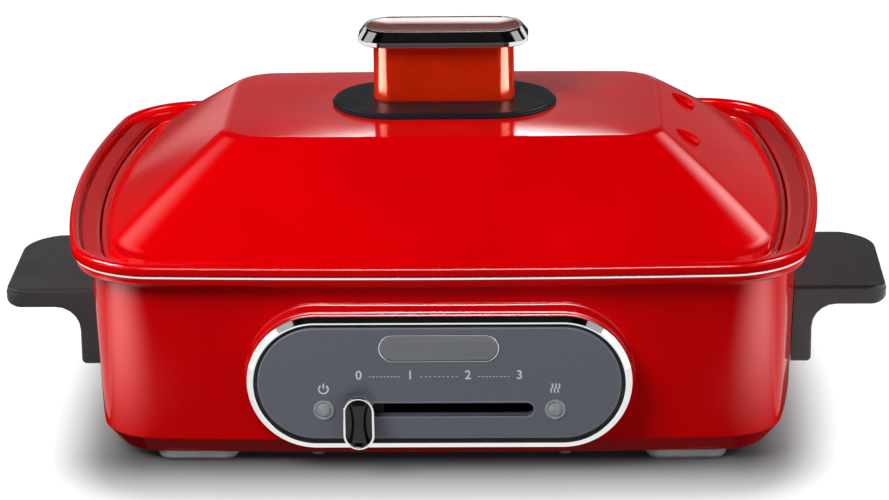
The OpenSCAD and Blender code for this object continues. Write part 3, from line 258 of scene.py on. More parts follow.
def skin(name, *grids, loop=False, sharp=38):
    """Object whose quads span each grid (row, column, xyz in mm). Columns close into rings; rows close into a loop
    too, or end in flat caps."""
    points, faces, base = [], [], 0
    for grid in grids:
        rows, columns = grid.shape[:2]
        index = base + np.arange(rows * columns).reshape(rows, columns)
        here, there = (index, np.roll(index, -1, 0)) if loop else (index[:-1], index[1:])
        quads = np.stack([here, np.roll(here, -1, 1), np.roll(there, -1, 1), there], -1).reshape(-1, 4)
        faces += quads.tolist()
        if not loop:
            faces += [index[0, ::-1].tolist(), index[-1].tolist()]
        points.append(grid.reshape(-1, 3))
        base += rows * columns
    mesh = bpy.data.meshes.new(name)
    mesh.from_pydata((np.concatenate(points) * MM).tolist(), [], faces)
    tidy_mesh(mesh, sharp)
    return placed(name, mesh)


def evaluated(piece):
    """Mesh of an object with its modifiers, or its curve, worked out."""
    bpy.context.view_layer.update()
    return bpy.data.meshes.new_from_object(piece.evaluated_get(bpy.context.evaluated_depsgraph_get()))


def carve(piece, *cutters, sharp=38):
    """Takes the cutters' volumes out of a piece for good, and removes the cutters."""
    for cutter in cutters:
        tool = piece.modifiers.new("carve", "BOOLEAN")
        tool.object, tool.solver = cutter, "EXACT"
    cut = evaluated(piece)
    piece.modifiers.clear()
    piece.data = cut
    for cutter in cutters:
        bpy.data.objects.remove(cutter)
    tidy_mesh(cut, sharp, turn=False)
    return piece


def settle(piece, finish, body, slot, *stands_for):
    """Gives a piece its finish and the body it rides on, and hides the CAD nodes it stands for; slot is not used."""
    piece.data.materials.clear()
    piece.data.materials.append(finish)
    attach(piece, body)
    if stands_for:
        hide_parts(*stands_for)


def node_mesh(node, name):
    """Copy of a CAD node's mesh with its triangles merged and its round faces shaded round."""
    mesh = NODES[node].data.copy()
    mesh.name = name
    tidy_mesh(mesh, 32, turn=False)
    return mesh


def smoothed(node, finish, body, slot, edge=0.0):
    """Piece with a CAD node's own shape; edge rounds its corners by that many millimetres."""
    piece = placed(node + "_skin", node_mesh(node, node + "_skin"))
    if edge:
        soft = piece.modifiers.new("edge", "BEVEL")
        soft.width, soft.segments, soft.limit_method = edge * MM, 2, "ANGLE"
        soft.angle_limit, soft.harden_normals = math.radians(40), True
    settle(piece, finish, body, slot, node)


# Finishes

def linear(shade):
    """Linear colour of an sRGB hex value."""
    c = np.array([int(shade[i:i + 2], 16) for i in (1, 3, 5)]) / 255
    return (*np.where(c <= 0.04045, c / 12.92, ((c + 0.055) / 1.055) ** 2.4).tolist(), 1.0)


def add(tree, kind, inputs=None, **settings):
    """Adds a shader node with its settings; inputs go by socket name or number, each a value or the socket that
    feeds it."""
    node = tree.nodes.new("ShaderNode" + kind)
    for key, value in settings.items():
        setattr(node, key, value)
    for key, value in (inputs or {}).items():
        if isinstance(value, bpy.types.NodeSocket):
            tree.links.new(value, node.inputs[key])
        else:
            node.inputs[key].default_value = value
    return node


def empty_tree(owner):
    """Node tree of a material or the world, cleared."""
    owner.use_nodes = True
    owner.node_tree.nodes.clear()
    return owner.node_tree


def finish(name, shades, patch, rough, smudge, grain, relief, stretch=(1, 1, 1), cells=False, **shader):
    """Surface whose colour drifts between two shades over patches, whose roughness drifts over smudges, and whose
    relief is a grain; patch, smudge, grain and relief are sizes in millimetres. Stretch draws the pattern out along
    the axes where it is below 1, and cells breaks the patches into crystals."""
    material = bpy.data.materials.new(name)
    tree = empty_tree(material)
    place = add(tree, "TexCoord").outputs["Object"]
    place = add(tree, "Mapping", {"Vector": place, "Scale": stretch}).outputs["Vector"]
    if cells:
        drift = add(tree, "TexVoronoi", {"Vector": place, "Scale": 1000 / patch})
        drift = add(tree, "SeparateColor", {"Color": drift.outputs["Color"]}).outputs["Red"]
    else:
        drift = add(tree, "TexNoise", {"Vector": place, "Scale": 1000 / patch, "Detail": 3.0})
        drift = add(tree, "MapRange", {"Value": drift.outputs["Fac"], "From Min": 0.3, "From Max": 0.7})
        drift = drift.outputs["Result"]
    tone = add(tree, "Mix", {0: drift, 6: linear(shades[0]), 7: linear(shades[1])}, data_type="RGBA")
    wear = add(tree, "TexNoise", {"Vector": place, "Scale": 1000 / smudge, "Detail": 4.0})
    wear = add(tree, "MapRange", {"Value": wear.outputs["Fac"], "From Min": 0.3, "From Max": 0.7,
                                            "To Min": rough[0], "To Max": rough[1]})
    skin_grain = add(tree, "TexNoise", {"Vector": place, "Scale": 1000 / grain, "Detail": 2.0})
    bump = add(tree, "Bump", {"Height": skin_grain.outputs["Fac"], "Strength": 1.0,
                                        "Distance": relief * MM})
    surface = add(tree, "BsdfPrincipled", {
        "Base Color": tone.outputs[2], "Roughness": wear.outputs["Result"], "Normal": bump.outputs["Normal"],
        **shader})
    add(tree, "OutputMaterial", {"Surface": surface.outputs[0]})
    return material


# Glass fused on steel: a deep wet red with slight clouding and a faint orange-peel ripple.
ENAMEL = finish("vitreous_enamel_red", ("#E00006", "#D40005"), 60, (0.08, 0.13), 35, 5, 0.004,
                **{"IOR": 1.45, "Specular Tint": linear("#FFB8B8")})
# Injection-moulded gloss ABS: a touch softer in its shine than the enamel beside it.
RED_ABS = finish("gloss_abs_red", ("#D00008", "#C40007"), 40, (0.12, 0.18), 25, 3, 0.003, IOR=1.46)
# Tinted gloss ABS of the knob: orange red, with handling smudges in its shine.
KNOB_ABS = finish("tinted_abs_orange_red", ("#C22504", "#B62003"), 18, (0.12, 0.20), 12, 2, 0.003,
                  **{"IOR": 1.46, "Specular Tint": linear("#FFA88C")})
# Dark red lacquer laid in the cap's dish.
INLAY = finish("red_lacquer_inlay", ("#7A1A12", "#6C140E"), 15, (0.08, 0.14), 10, 2, 0.002, IOR=1.5)
# Nickel-chrome plate on moulded ABS: mirror bright, with a breath of finger smudging.
CHROME = finish("chrome_plate", ("#F4F4F2", "#ECEDEE"), 20, (0.03, 0.09), 9, 3, 0.001, Metallic=1.0)
# Piano-black ABS: deep black under a clear shine.
BLACK_ABS = finish("piano_black_abs", ("#0B0C0E", "#101114"), 15, (0.12, 0.22), 10, 2, 0.002, IOR=1.45)
# Satin black ABS of the knob's foot plate: it veils what it mirrors and takes a cool grey from the room.
SATIN_ABS = finish("satin_black_abs", ("#14171B", "#1A1D22"), 15, (0.34, 0.44), 10, 1.2, 0.003, IOR=1.33)
# Spark-textured polypropylene: dark grey satin; the 0.4 mm spark grain is drawn at 0.9 mm so that it shows.
HANDLE_PP = finish("textured_polypropylene", ("#313234", "#393A3C"), 25, (0.24, 0.34), 14, 0.9, 0.012, IOR=1.48)
# Grey paint whose fine mica breaks up its satin shine; the mica is drawn at 1.2 mm so that it shows.
PANEL_PAINT = finish("mica_grey_paint", ("#5B5F69", "#636772"), 1.2, (0.30, 0.42), 18, 0.8, 0.004, IOR=1.45)
# The badge's plate: lighter grey lacquer, lightly brushed along its length.
BADGE_LACQUER = finish("brushed_badge_lacquer", ("#6D7077", "#787B82"), 4, (0.26, 0.36), 6, 0.9, 0.004,
                       stretch=(0.08, 1, 1), IOR=1.5)
# Frosted polycarbonate lens: milky grey with a soft shine.
LENS_PC = finish("frosted_polycarbonate", ("#8C9097", "#9DA1A8"), 3, (0.22, 0.32), 3, 0.6, 0.004, IOR=1.58)
# Small glow lamps: thin clear glass with an amber tint.
LAMP_GLASS = finish("amber_lamp_glass", ("#F0C38A", "#E8B878"), 4, (0.03, 0.08), 3, 2, 0.001,
                    **{"IOR": 1.5, "Transmission Weight": 0.7})
# Glass-filled PBT of the inlet and the carriage: dull black with moulding grain.
BLACK_PBT = finish("glass_filled_pbt", ("#161617", "#1E1E20"), 8, (0.42, 0.55), 8, 0.8, 0.012, IOR=1.5)
# Powder-coated steel of the base plate: black with a pebbled skin of about 0.8 mm.
POWDER_COAT = finish("black_powder_coat", ("#1B1B1C", "#232324"), 20, (0.45, 0.6), 12, 0.8, 0.03, IOR=1.5)
# Silicone rubber of the feet: pale grey, matt, slightly dusty.
RUBBER = finish("grey_silicone_rubber", ("#8A8A8B", "#A0A0A0"), 10, (0.5, 0.65), 6, 0.7, 0.01, IOR=1.41)
# Rolled aluminium sheet of the tray: bright, streaked along the rolling direction, 1.5 mm streaks.
ALUMINIUM = finish("rolled_aluminium", ("#C6C8CA", "#D6D7D8"), 6, (0.22, 0.38), 5, 1.5, 0.006,
                   stretch=(0.05, 1, 1), Metallic=1.0)
# PTFE coat of the pan: near-black with fine mineral flecks, which are drawn at 1.2 mm so that they show.
NONSTICK = finish("nonstick_coat", ("#1F2023", "#34363A"), 1.2, (0.34, 0.46), 25, 1.6, 0.008, cells=True, IOR=1.38)
# Heater tube: stainless steel browned and blued by heat in patches of about 20 mm.
HEATER = finish("heat_stained_steel", ("#6E5A48", "#4C505C"), 20, (0.32, 0.48), 6, 1, 0.004, Metallic=1.0)
# Zinc plate: cool grey crystals of about 2.5 mm.
ZINC = finish("zinc_plated_steel", ("#AEB2B8", "#C6C9CD"), 2.5, (0.26, 0.40), 4, 1, 0.003, cells=True, Metallic=1.0)
# Steatite: off-white, matt, with faint specks.
CERAMIC = finish("steatite_ceramic", ("#E6DFCF", "#DAD2BF"), 2, (0.5, 0.62), 4, 0.6, 0.008, IOR=1.6)
# Turned brass, dulled a little by handling.
BRASS = finish("turned_brass", ("#C9A352", "#B8924A"), 6, (0.18, 0.32), 4, 0.8, 0.002, Metallic=1.0)
# Drawn copper with a brown bloom.
COPPER = finish("drawn_copper", ("#B87350", "#9A5C3E"), 9, (0.22, 0.38), 4, 0.8, 0.002, Metallic=1.0)
# Natural nylon of the pinion: ivory, waxy.
NYLON = finish("natural_nylon", ("#E8E3D2", "#DED8C4"), 6, (0.34, 0.44), 4, 0.7, 0.004, IOR=1.53)
# Phenolic case of the thermal fuse.
PHENOLIC = finish("cream_phenolic", ("#D8D2C4", "#CBC4B4"), 5, (0.4, 0.5), 4, 0.7, 0.006, IOR=1.6)
# Pad-printed pale grey ink, slightly uneven.
INK = finish("pad_print_ink", ("#E2E4E6", "#D2D5D8"), 2, (0.4, 0.5), 2, 0.5, 0.002, IOR=1.5)


# Housing, rim, pan and lid

def housing():
    """Wall section carried round the rim's outline: bevelled foot, wall drawn out to the top, rolled lip, and the
    same way back one sheet further in. The panel's stadium and the inlet's window are taken out of it."""
    section = eased([
        (18.2, 4.5, 0.6), (11.4, 12.8, 1.6), (8.8, 84.8, 1.4), (2.2, 86.4, 1.5), (2.2, 90, 1.3), (11.8, 90, 0.2),
        (11.8, 88.5, 0.2), (6.6, 88.5, 0.6), (10.2, 85.6, 0.8), (12.9, 13.2, 1.2), (17.5, 8, 0.8), (27.2, 8, 0.2),
        (27.2, 6.5, 0.2), (18.4, 6.5, 0.2), (18.4, 4.5, 0.1)])
    wall = skin("housing_wall", round_rim(section), loop=True)
    window = skin("panel_window", on_panel(lifted(stadium(PANEL_WINDOW, [0, 0]), [-20, 12])))
    inlet = lifted(round_outline([INLET_HALF[0]] * 2, INLET_HALF[1], INLET_R), [100.0, 140.0])
    inlet = skin("inlet_window", np.stack([inlet[..., 0], inlet[..., 2], inlet[..., 1] + INLET_Z], -1))
    settle(carve(wall, window, inlet), ENAMEL, "base", "red_enamel", "housing")


def rim_frame():
    """Frame section carried round the rim's outline: round bead, groove, sloped band, rolled inner edge, skirt and
    ledge; and a chrome strip between the bead and the housing's lip: a painted highlight for the lip's top edge."""
    section = eased([
        (0.0, 91.0, 1.3), (0.0, 96.2, 2.1), (4.2, 96.2, 1.6), (4.4, 91.9, 0.2), (5.5, 91.9, 0.2),
        (5.6, 93.1, 0.35), (11.8, 92.2, 1.0),
        (13.4, 91.2, 0.9), (13.4, 86, 0.3), (18, 86, 0.4), (18, 82, 0.4), (12, 82, 0.3), (12, 90, 0.3),
        (4.6, 90, 0.4), (4.0, 91, 0.3)])
    ring = skin("rim_frame_skin", round_rim(section), loop=True)
    settle(ring, ENAMEL, "base", "red_enamel", "rim_frame")
    # Chrome strip under the bead: a painted highlight that draws the bright line of the lip's top edge.
    highlight_strip = eased([(1.2, 90.0, 0.2), (1.2, 91.0, 0.2), (4.2, 91.0, 0), (4.2, 90.0, 0)])
    highlight_strip = skin("rim_painted_highlight_strip", round_rim(highlight_strip), loop=True)
    settle(highlight_strip, CHROME, "base", "bright_chrome")


def cooking_pan():
    """Pan section carried round the rim's outline: flat floor, drawn walls, flat rim with a rounded edge."""
    s = PAN_INSET
    section = eased([
        (s + 40, 43.3, 0), (s + 13.5, 43.3, 9), (s + 5.4, 55.2, 9), (s, 83, 0.4), (s, 86.3, 0.6), (14.0, 86.3, 0.8),
        (14.0, 88.1, 0.8), (s + 1.8, 88.1, 1.2), (s + 1.8, 82.8, 1.0), (s + 7.3, 55.4, 8), (s + 14.6, 45.1, 8),
        (s + 40, 45.1, 0)], closed=False)
    pan = skin("cooking_pan_skin", round_rim(section))
    settle(pan, NONSTICK, "pan", "pan_nonstick", "cooking_pan")


def dome_rings(share, inset=0.0, drop=0.0):
    """Lid rings from the dome's foot (share 0) past its top edge (share 1) to the flat round the knob: half widths,
    corners and the sides' bend run straight between foot and top. The height bends over at the edge within EASE, and
    the top is crowned: it rises by CROWN as a parabola over the way from share 1 to 1 + CROWN_RUN."""
    share = np.asarray(share, float)
    rings = bowed_outline(
        mix(LID_HALF[0], LID_TOP_HALF[0], share) - inset, mix(LID_HALF[1], LID_TOP_HALF[1], share) - inset,
        mix(LID_R, LID_TOP_R, share) - inset, 1 / mix(1 / LID_SIDE_BOW, 1 / LID_TOP_SIDE_BOW, np.minimum(share, 1)),
        LID_FACE_BOW)
    level = np.where(share < 1 - EASE, share, 1 - np.maximum(1 + EASE - share, 0) ** 2 / (4 * EASE))
    crown = CROWN * np.where(share < 1, share, np.clip((1 + CROWN_RUN - share) / CROWN_RUN, 0, 1) ** 2)
    return lifted(rings, mix(DOME_Z, LID_TOP_Z, level) - crown - drop)


def lid_shell():
    """Lid: the dome's inner face, the spigot and the rolled flange as a section round the rim's outline, then the
    dome's outer face."""
    inner = dome_rings(np.concatenate([np.linspace(1.07, 0.93, 12), np.linspace(0.9, 0.09, 16)]), 1.0, 1.8)
    flange = eased([
        (22.7, 89.6, 0), (22.7, 84.8, 0.3), (21.2, 84.8, 0.3), (21.2, 88.4, 0.4), (14.0, 88.4, 0.8),
        (14.0, 90.9, 0.9), (16.0, 90.9, 0.4), (16.2, 90.3, 0.2), (16.8, 90.6, 0.4), (17.9, 92.8, 0)], closed=False)
    flange = round_rim(flange)
    outer = dome_rings(np.concatenate([np.linspace(0.03, 0.94, 18), np.linspace(0.955, 1.04, 12),
                                       np.linspace(1.07, 1.42, 12)]))
    lid = skin("lid_dome", np.concatenate([inner, flange, outer]), sharp=50)
    settle(lid, ENAMEL, "lid", "red_enamel", "lid_shell")


def steam_louvre(name, y):
    """Drop-shaped bump over a steam hole on the right slope: ellipses across the slope whose half width and height
    grow as a sine over the upper seven tenths and close as a quarter circle at the lower end."""
    rise, run = LID_TOP_Z - DOME_Z, LID_HALF[0] - LID_TOP_HALF[0]
    down = np.array([run, 0, -rise]) / math.hypot(run, rise)
    out = np.array([rise, 0, run]) / math.hypot(run, rise)
    share = np.concatenate([np.linspace(0.01, 0.66, 16), 0.7 + 0.3 * np.sin(np.linspace(0, 1.55, 14))])[:, None]
    swell = np.where(share < 0.7, np.sin(np.clip(share / 0.7, 0, 1) * math.pi / 2) ** 0.8,
                     np.sqrt(np.maximum(1 - ((share - 0.7) / 0.3) ** 2, 1e-4)))
    angle = np.linspace(0, 2 * math.pi, 36, endpoint=False)[None, :]
    height = np.where(np.sin(angle) > 0, LOUVRE_RISE * swell * np.sin(angle), 0.6 * np.sin(angle))
    top = np.array([LID_HALF[0] - LOUVRE_AT * run, y, DOME_Z + LOUVRE_AT * rise])
    grid = (top + (share * LOUVRE_L)[..., None] * down + height[..., None] * out
            + (LOUVRE_HALF_W * swell * np.cos(angle))[..., None] * np.array([0, 1.0, 0]))
    settle(skin(name, grid, sharp=60), ENAMEL, "lid", "red_enamel")


# Knob

def knob():
    """Knob: a stadium foot plate with a stepped edge, a stadium body, and a cap whose section is carried round a
    bowed outline, with a lacquered dish in its top."""
    plate = eased([(0.2, LID_TOP_Z, 0), (0.0, 132.6, 0.4), (0.9, 133.1, 0.3), (1.3, KNOB_Z, 0.5), (14, KNOB_Z, 0)],
                  closed=False)
    plate = skin("knob_foot_plate", round_stadium(FOOT_PLATE, plate, turn=28))
    settle(plate, SATIN_ABS, "lid", "black_gloss", "knob_plate")
    body = eased([(0.3, KNOB_Z, 0), (0.0, 134.6, 0.4), (0.2, 160, 2), (0.2, CAP_Z, 0)], closed=False)
    rings = round_outline(KNOB_HALF[0] - body[:, 0], KNOB_HALF[1] - body[:, 0], KNOB_R - body[:, 0], turn=24)
    settle(skin("knob_stem", lifted(rings, body[:, 1])), KNOB_ABS, "lid", "knob_red", "knob_body")

    def cap_rings(section):
        """Cap outlines grown by each section value, at its height."""
        grow = section[:, 0]
        return lifted(bowed_outline(CAP_HALF[0] + grow, CAP_HALF[1] + grow, np.minimum(8.5 + grow, 12),
                                    CAP_SIDE_BOW, CAP_FACE_BOW), section[:, 1])

    cap = eased([(-3, CAP_Z, 0), (5.7, CAP_Z, 0.2), (6.4, 161.6, 0.2), (6.5, 163.5, 0.4), (3.9, 167.4, 0.4),
                 (3.3, CAP_TOP_Z, 0.25), (2.5, CAP_TOP_Z, 0.3), (2.1, 167.2, 0.3), (-6, 166.2, 0)], closed=False)
    settle(skin("knob_cap_skin", cap_rings(cap)), CHROME, "lid", "bright_chrome", "knob_cap")
    sink = np.linspace(1, 0.35, 14)
    dish = np.concatenate([[(-6, 166.1), (2.0, 167.0), (2.2, 167.6)],
                           np.column_stack([13 * sink - 10.8, 166.5 + 1.15 * sink ** 2])])
    settle(skin("knob_cap_inlay", cap_rings(dish)), INLAY, "lid", "knob_red")


# Handles

def handle(side):
    """Handle lofted along Y: at each station its bent section runs down the leg, out under the grip and back over
    the top. The stations draw the section in at both ends to round them, and the tip follows the plan's corner
    arcs, small at the front and large at the rear."""
    front, rear, end_r = 8.0, 22.0, 1.5
    lead, trail = np.radians(np.linspace(90, 0, 14)), np.radians(np.linspace(0, 90, 20))
    y = np.concatenate([-HANDLE_L / 2 + front * (1 - np.sin(lead)), np.linspace(-30, 16, 8),
                        HANDLE_L / 2 - rear * (1 - np.sin(trail))])
    tip = np.concatenate([HANDLE_TIP - front * (1 - np.cos(lead)), np.full(8, HANDLE_TIP),
                          HANDLE_TIP - rear * (1 - np.cos(trail))])
    depth = np.clip((HANDLE_L / 2 - np.abs(y)) / end_r, 0, 1)
    draw = end_r * (1 - np.sqrt(1 - (1 - depth) ** 2))
    rings = []
    for at, out, d in zip(y, tip, draw):
        wall = RIM_W / 2 - np.array([WALL_FOOT[0], WALL_TOP[0]]) - (
            WALL_SIDE_BOW - math.sqrt(WALL_SIDE_BOW ** 2 - at ** 2)) + 0.3
        at_z = [float(np.interp(z, [WALL_FOOT[1], WALL_TOP[1]], wall)) for z in (HANDLE_LOW, HANDLE_TOP)]
        section = eased([
            (at_z[0], HANDLE_LOW + d, 0.2), (HANDLE_LEG - d, HANDLE_LOW + d, max(2.2 - d, 0.2)),
            (HANDLE_LEG - d, HANDLE_UNDER + d, 11 + d), (out - d, HANDLE_UNDER + d, max(5.2 - d, 0.5)),
            (out - d, HANDLE_TOP - 2.4, 0.25), (out - d - 0.45, HANDLE_TOP - 2.2, 0.25),
            (out - d - 0.45, HANDLE_TOP - d, max(1.9 - d, 0.2)), (at_z[1], HANDLE_TOP - d, 0.2)], steps=5)
        rings.append(section)
    least = min(len(r) for r in rings)
    if least != max(len(r) for r in rings):
        raise ValueError("handle stations differ in their number of points")
    grid = np.stack([np.column_stack([side * r[:, 0], np.full(least, at), r[:, 1]]) for r, at in zip(rings, y)])
    name = "left" if side < 0 else "right"
    settle(skin("handle_" + name + "_skin", grid), HANDLE_PP, "base", "handle_grey", "handle_" + name)


# Panel

def wall_y(x, z):
    """Y of the front wall's outer face at each x and z: drafted along z, bowed along x."""
    inset = np.interp(z, [WALL_FOOT[1], WALL_TOP[1]], [WALL_FOOT[0], WALL_TOP[0]])
    return -(RIM_D / 2 - inset) + (WALL_FACE_BOW - np.sqrt(WALL_FACE_BOW ** 2 - x ** 2))


def panel_surround():
    """Red surround: rings round the boss's stadium, each a share of the way from the wall's own face to the boss's
    front plane, so that its foot lies on the bowed wall. The section is a hollow arc of 1.6 mm, a straight and a round
    arc of 2 mm, each turning through 75 degrees; its spread is full at the top and a quarter of that elsewhere."""
    turn = np.radians(np.linspace(0, 75, 9))
    hollow = np.column_stack([3.4 - 1.6 * np.sin(turn), 1.6 * (1 - np.cos(turn))])
    shoulder = np.column_stack([2 * np.sin(turn) - 0.6, 4.8 - 2 * (1 - np.cos(turn))])[::-1]
    back = [(-1.0, 4.8), (-3.8, 4.8), (-4.0, 4.7), (-4.0, -3), (1, -2.4)]
    section = np.concatenate([[(3.6, -0.2)], hollow, shoulder, back])
    spread, share = section[:, 0], section[:, 1] / 4.8
    lower = np.where(spread > 0, 0.25 * spread, spread)
    rings = stadium(BOSS, -lower, straight=14, turn=26)
    upper = np.clip(rings[..., 1] / (BOSS[1] / 2), 0, 1)
    x, z = rings[..., 0], rings[..., 1] + (spread - lower)[:, None] * upper ** 1.5 + PANEL_Z
    y = mix(wall_y(x, z), PANEL_Y, share[:, None])
    surround = skin("panel_surround", np.stack([x, y, z], -1), loop=True)
    settle(surround, RED_ABS, "base", "red_plastic", "panel_mount")
    # The surround's rear, behind the cut, is drawn in black: painted shade that makes the slot dark inside.
    rear = node_mesh("panel_mount", "panel_mount_rear_painted_shade")
    work = bmesh.new()
    work.from_mesh(rear)
    cut = bmesh.ops.bisect_plane(work, geom=work.verts[:] + work.edges[:] + work.faces[:],
                                 plane_co=(0, REAR_CUT_Y, 0), plane_no=(0, -1, 0), clear_outer=True)
    bmesh.ops.holes_fill(work, edges=[e for e in cut["geom_cut"] if isinstance(e, bmesh.types.BMEdge)])
    work.to_mesh(rear)
    work.free()
    settle(placed("panel_mount_rear_painted_shade", rear), BLACK_PBT, "base", "black_plastic")


def panel_plate(name, size, section, **counts):
    """Closed ring of a section (inset, height over the surround's front) carried round a stadium of the panel."""
    return skin(name, on_panel(round_stadium(size, section, straight=14, turn=26)), **counts)


def panel_trim():
    """Bright ring with a broad outward slope and a narrow flat; a black ring in the groove inside it, painted shade
    for the groove's dark gap; the grey face with its slot; and a paler ring on its edge, a painted highlight."""
    trim = eased([(0.0, -0.4, 0), (0.0, 2.2, 0.2), (2.1, 4.4, 0.3), (2.85, 4.4, 0.2), (3.0, 4.2, 0.15), (3.0, -0.4, 0)])
    settle(panel_plate("panel_trim_ring", TRIM, trim, loop=True), CHROME, "base", "bright_chrome", "panel_trim")
    # Black ring in the groove: painted shade that stands for the dark gap between the bright ring and the face.
    groove_shade = eased([(2.9, -0.5, 0), (2.9, 1.9, 0.1), (3.8, 2.2, 0.3), (4.7, 1.9, 0.1), (4.7, -0.5, 0)])
    settle(panel_plate("panel_groove_shade", TRIM, groove_shade, loop=True), BLACK_PBT, "base", "black_plastic")
    plate = eased([(0.0, -1.0, 0), (0.0, 3.5, 0.2), (0.5, FACE_FRONT, 0.2), (4.0, FACE_FRONT, 0)], closed=False)
    plate = panel_plate("panel_face_plate", FACE, plate)
    slot = lifted(stadium(SLOT, [0, 0], straight=10, turn=12), [-4, 8])
    slot = skin("slot_window", on_panel(slot + np.array([0, SLOT_Y, 0])))
    settle(carve(plate, slot), PANEL_PAINT, "base", "panel_grey", "panel_face")
    # Ring of paler lacquer on the face's edge: a painted highlight for the edge's light line.
    edge = eased([(0.05, 3.1, 0), (0.05, 3.65, 0.2), (0.5, 3.96, 0.1), (0.8, 3.88, 0)])
    settle(panel_plate("panel_face_painted_highlight", FACE, edge, loop=True), BADGE_LACQUER, "base", "badge_grey")


def badge():
    """Blank badge: a stadium plate with a soft edge, inside a half-round bright ring."""
    (low, high), (inner, outer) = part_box("badge_ring"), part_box("badge_plate")
    size, plate_size = [((b.x - a.x) / MM, (b.z - a.z) / MM) for a, b in ((low, high), (inner, outer))]
    at = np.array([0, (low.z + high.z) / 2 / MM - PANEL_Z, FACE_FRONT])
    wide = (size[1] - plate_size[1]) / 2
    plate = eased([(-0.25 * wide, -0.1, 0), (-0.25 * wide, 0.2, 0.1), (0.5, 0.5, 0.3), (4.5, 0.55, 0)], closed=False)
    plate = round_stadium(plate_size, plate, straight=14, turn=20)
    settle(skin("badge_field", on_panel(plate + at)), BADGE_LACQUER, "base", "badge_grey", "badge_plate")
    near, far = 0.2 * wide, 0.8 * wide
    ring = eased([(near, -0.1, 0), (near, 0.35, 0.15), (wide / 2, 0.6, 0.2), (far, 0.35, 0.15), (far, -0.1, 0)])
    ring = round_stadium(size, ring, straight=14, turn=20)
    settle(skin("badge_outline", on_panel(ring + at), loop=True), CHROME, "base", "bright_chrome", "badge_ring")


def slot_rim():
    """Thin raised lip round the slider's slot; its paler lacquer is a painted highlight for the slot's light edge."""
    section = eased([(-0.9, 3.5, 0), (-0.9, 4.0, 0.1), (-0.3, 4.1, 0.15), (0.0, 3.8, 0.1), (0.0, 3.1, 0)])
    rings = round_stadium(SLOT, section, straight=10, turn=12)
    rings[..., 1] += SLOT_Y
    settle(skin("slot_lip_painted_highlight", on_panel(rings), loop=True), BADGE_LACQUER, "base", "badge_grey")


def slider():
    """Slider: a black grip of stadium rings in a bright ring. Its top is a ridge along y whose half width narrows
    to a waist, w = 1.3 + 1.5 (y / 9)^2, and that falls in a smooth step over 2.2 mm to the ring's foot."""
    def rings(section):
        """Rings of the grip's stadium drawn in by each section value, at its height, in the panel's frame."""
        return round_stadium(GRIP, section, straight=10, turn=18)

    place = np.array([GRIP_X, GRIP_Y, 0])
    side = rings(eased([(1.2, 5.3, 0), (0.9, 6.2, 0.4), (1.0, 9.6, 0)], closed=False))
    top = rings(np.column_stack([np.linspace(1.05, GRIP[0] / 2 - 0.05, 20), np.zeros(20)]))
    waist = 1.3 + 1.5 * (top[..., 1] / 9) ** 2
    step = np.clip(1 - (np.abs(top[..., 0]) - waist) / 2.2, 0, 1)
    top[..., 2] = 9.6 + 1.9 * step ** 2 * (3 - 2 * step) * np.clip((12 - np.abs(top[..., 1])) / 4, 0, 1)
    grip = skin("slider_ridge", on_panel(np.concatenate([side, top]) + place))
    settle(grip, BLACK_ABS, "slider", "black_gloss", "slider_grip")
    ring = eased([(0.0, 8.0, 0.2), (0.0, 11.5, 0.5), (0.4, 12.0, 0.3), (0.9, 12.0, 0.3), (1.3, 11.4, 0.3),
                  (1.1, 8.0, 0.2)])
    settle(skin("slider_bright_ring", on_panel(rings(ring) + place), loop=True), CHROME, "slider", "bright_chrome",
           "slider_ring")


def lens(name, x):
    """Lens: rings of a turned section, from its flange over a groove to a low dome."""
    section = eased([(4.5, 3.8, 0), (4.5, 4.35, 0.2), (3.7, 4.5, 0.2), (3.3, 4.1, 0.15), (3.0, 4.2, 0.15),
                     (2.6, 4.8, 0.5), (1.2, 5.1, 1.0), (0.05, 5.15, 0)], closed=False)
    rings = lifted(round_outline(section[:, 0], section[:, 0], section[:, 0], straight=1, turn=14), section[:, 1])
    rings += np.array([x, SLOT_Y, 0])
    settle(skin(name + "_dome", on_panel(rings)), LENS_PC, "base", "lens_grey", name)


def printed(name, *shapes):
    """Ink shapes on the panel's face, as one piece."""
    grids = [on_panel(shape + np.array([0, 0, FACE_FRONT])) for shape in shapes]
    settle(skin(name, *grids), INK, "base", "lens_grey")


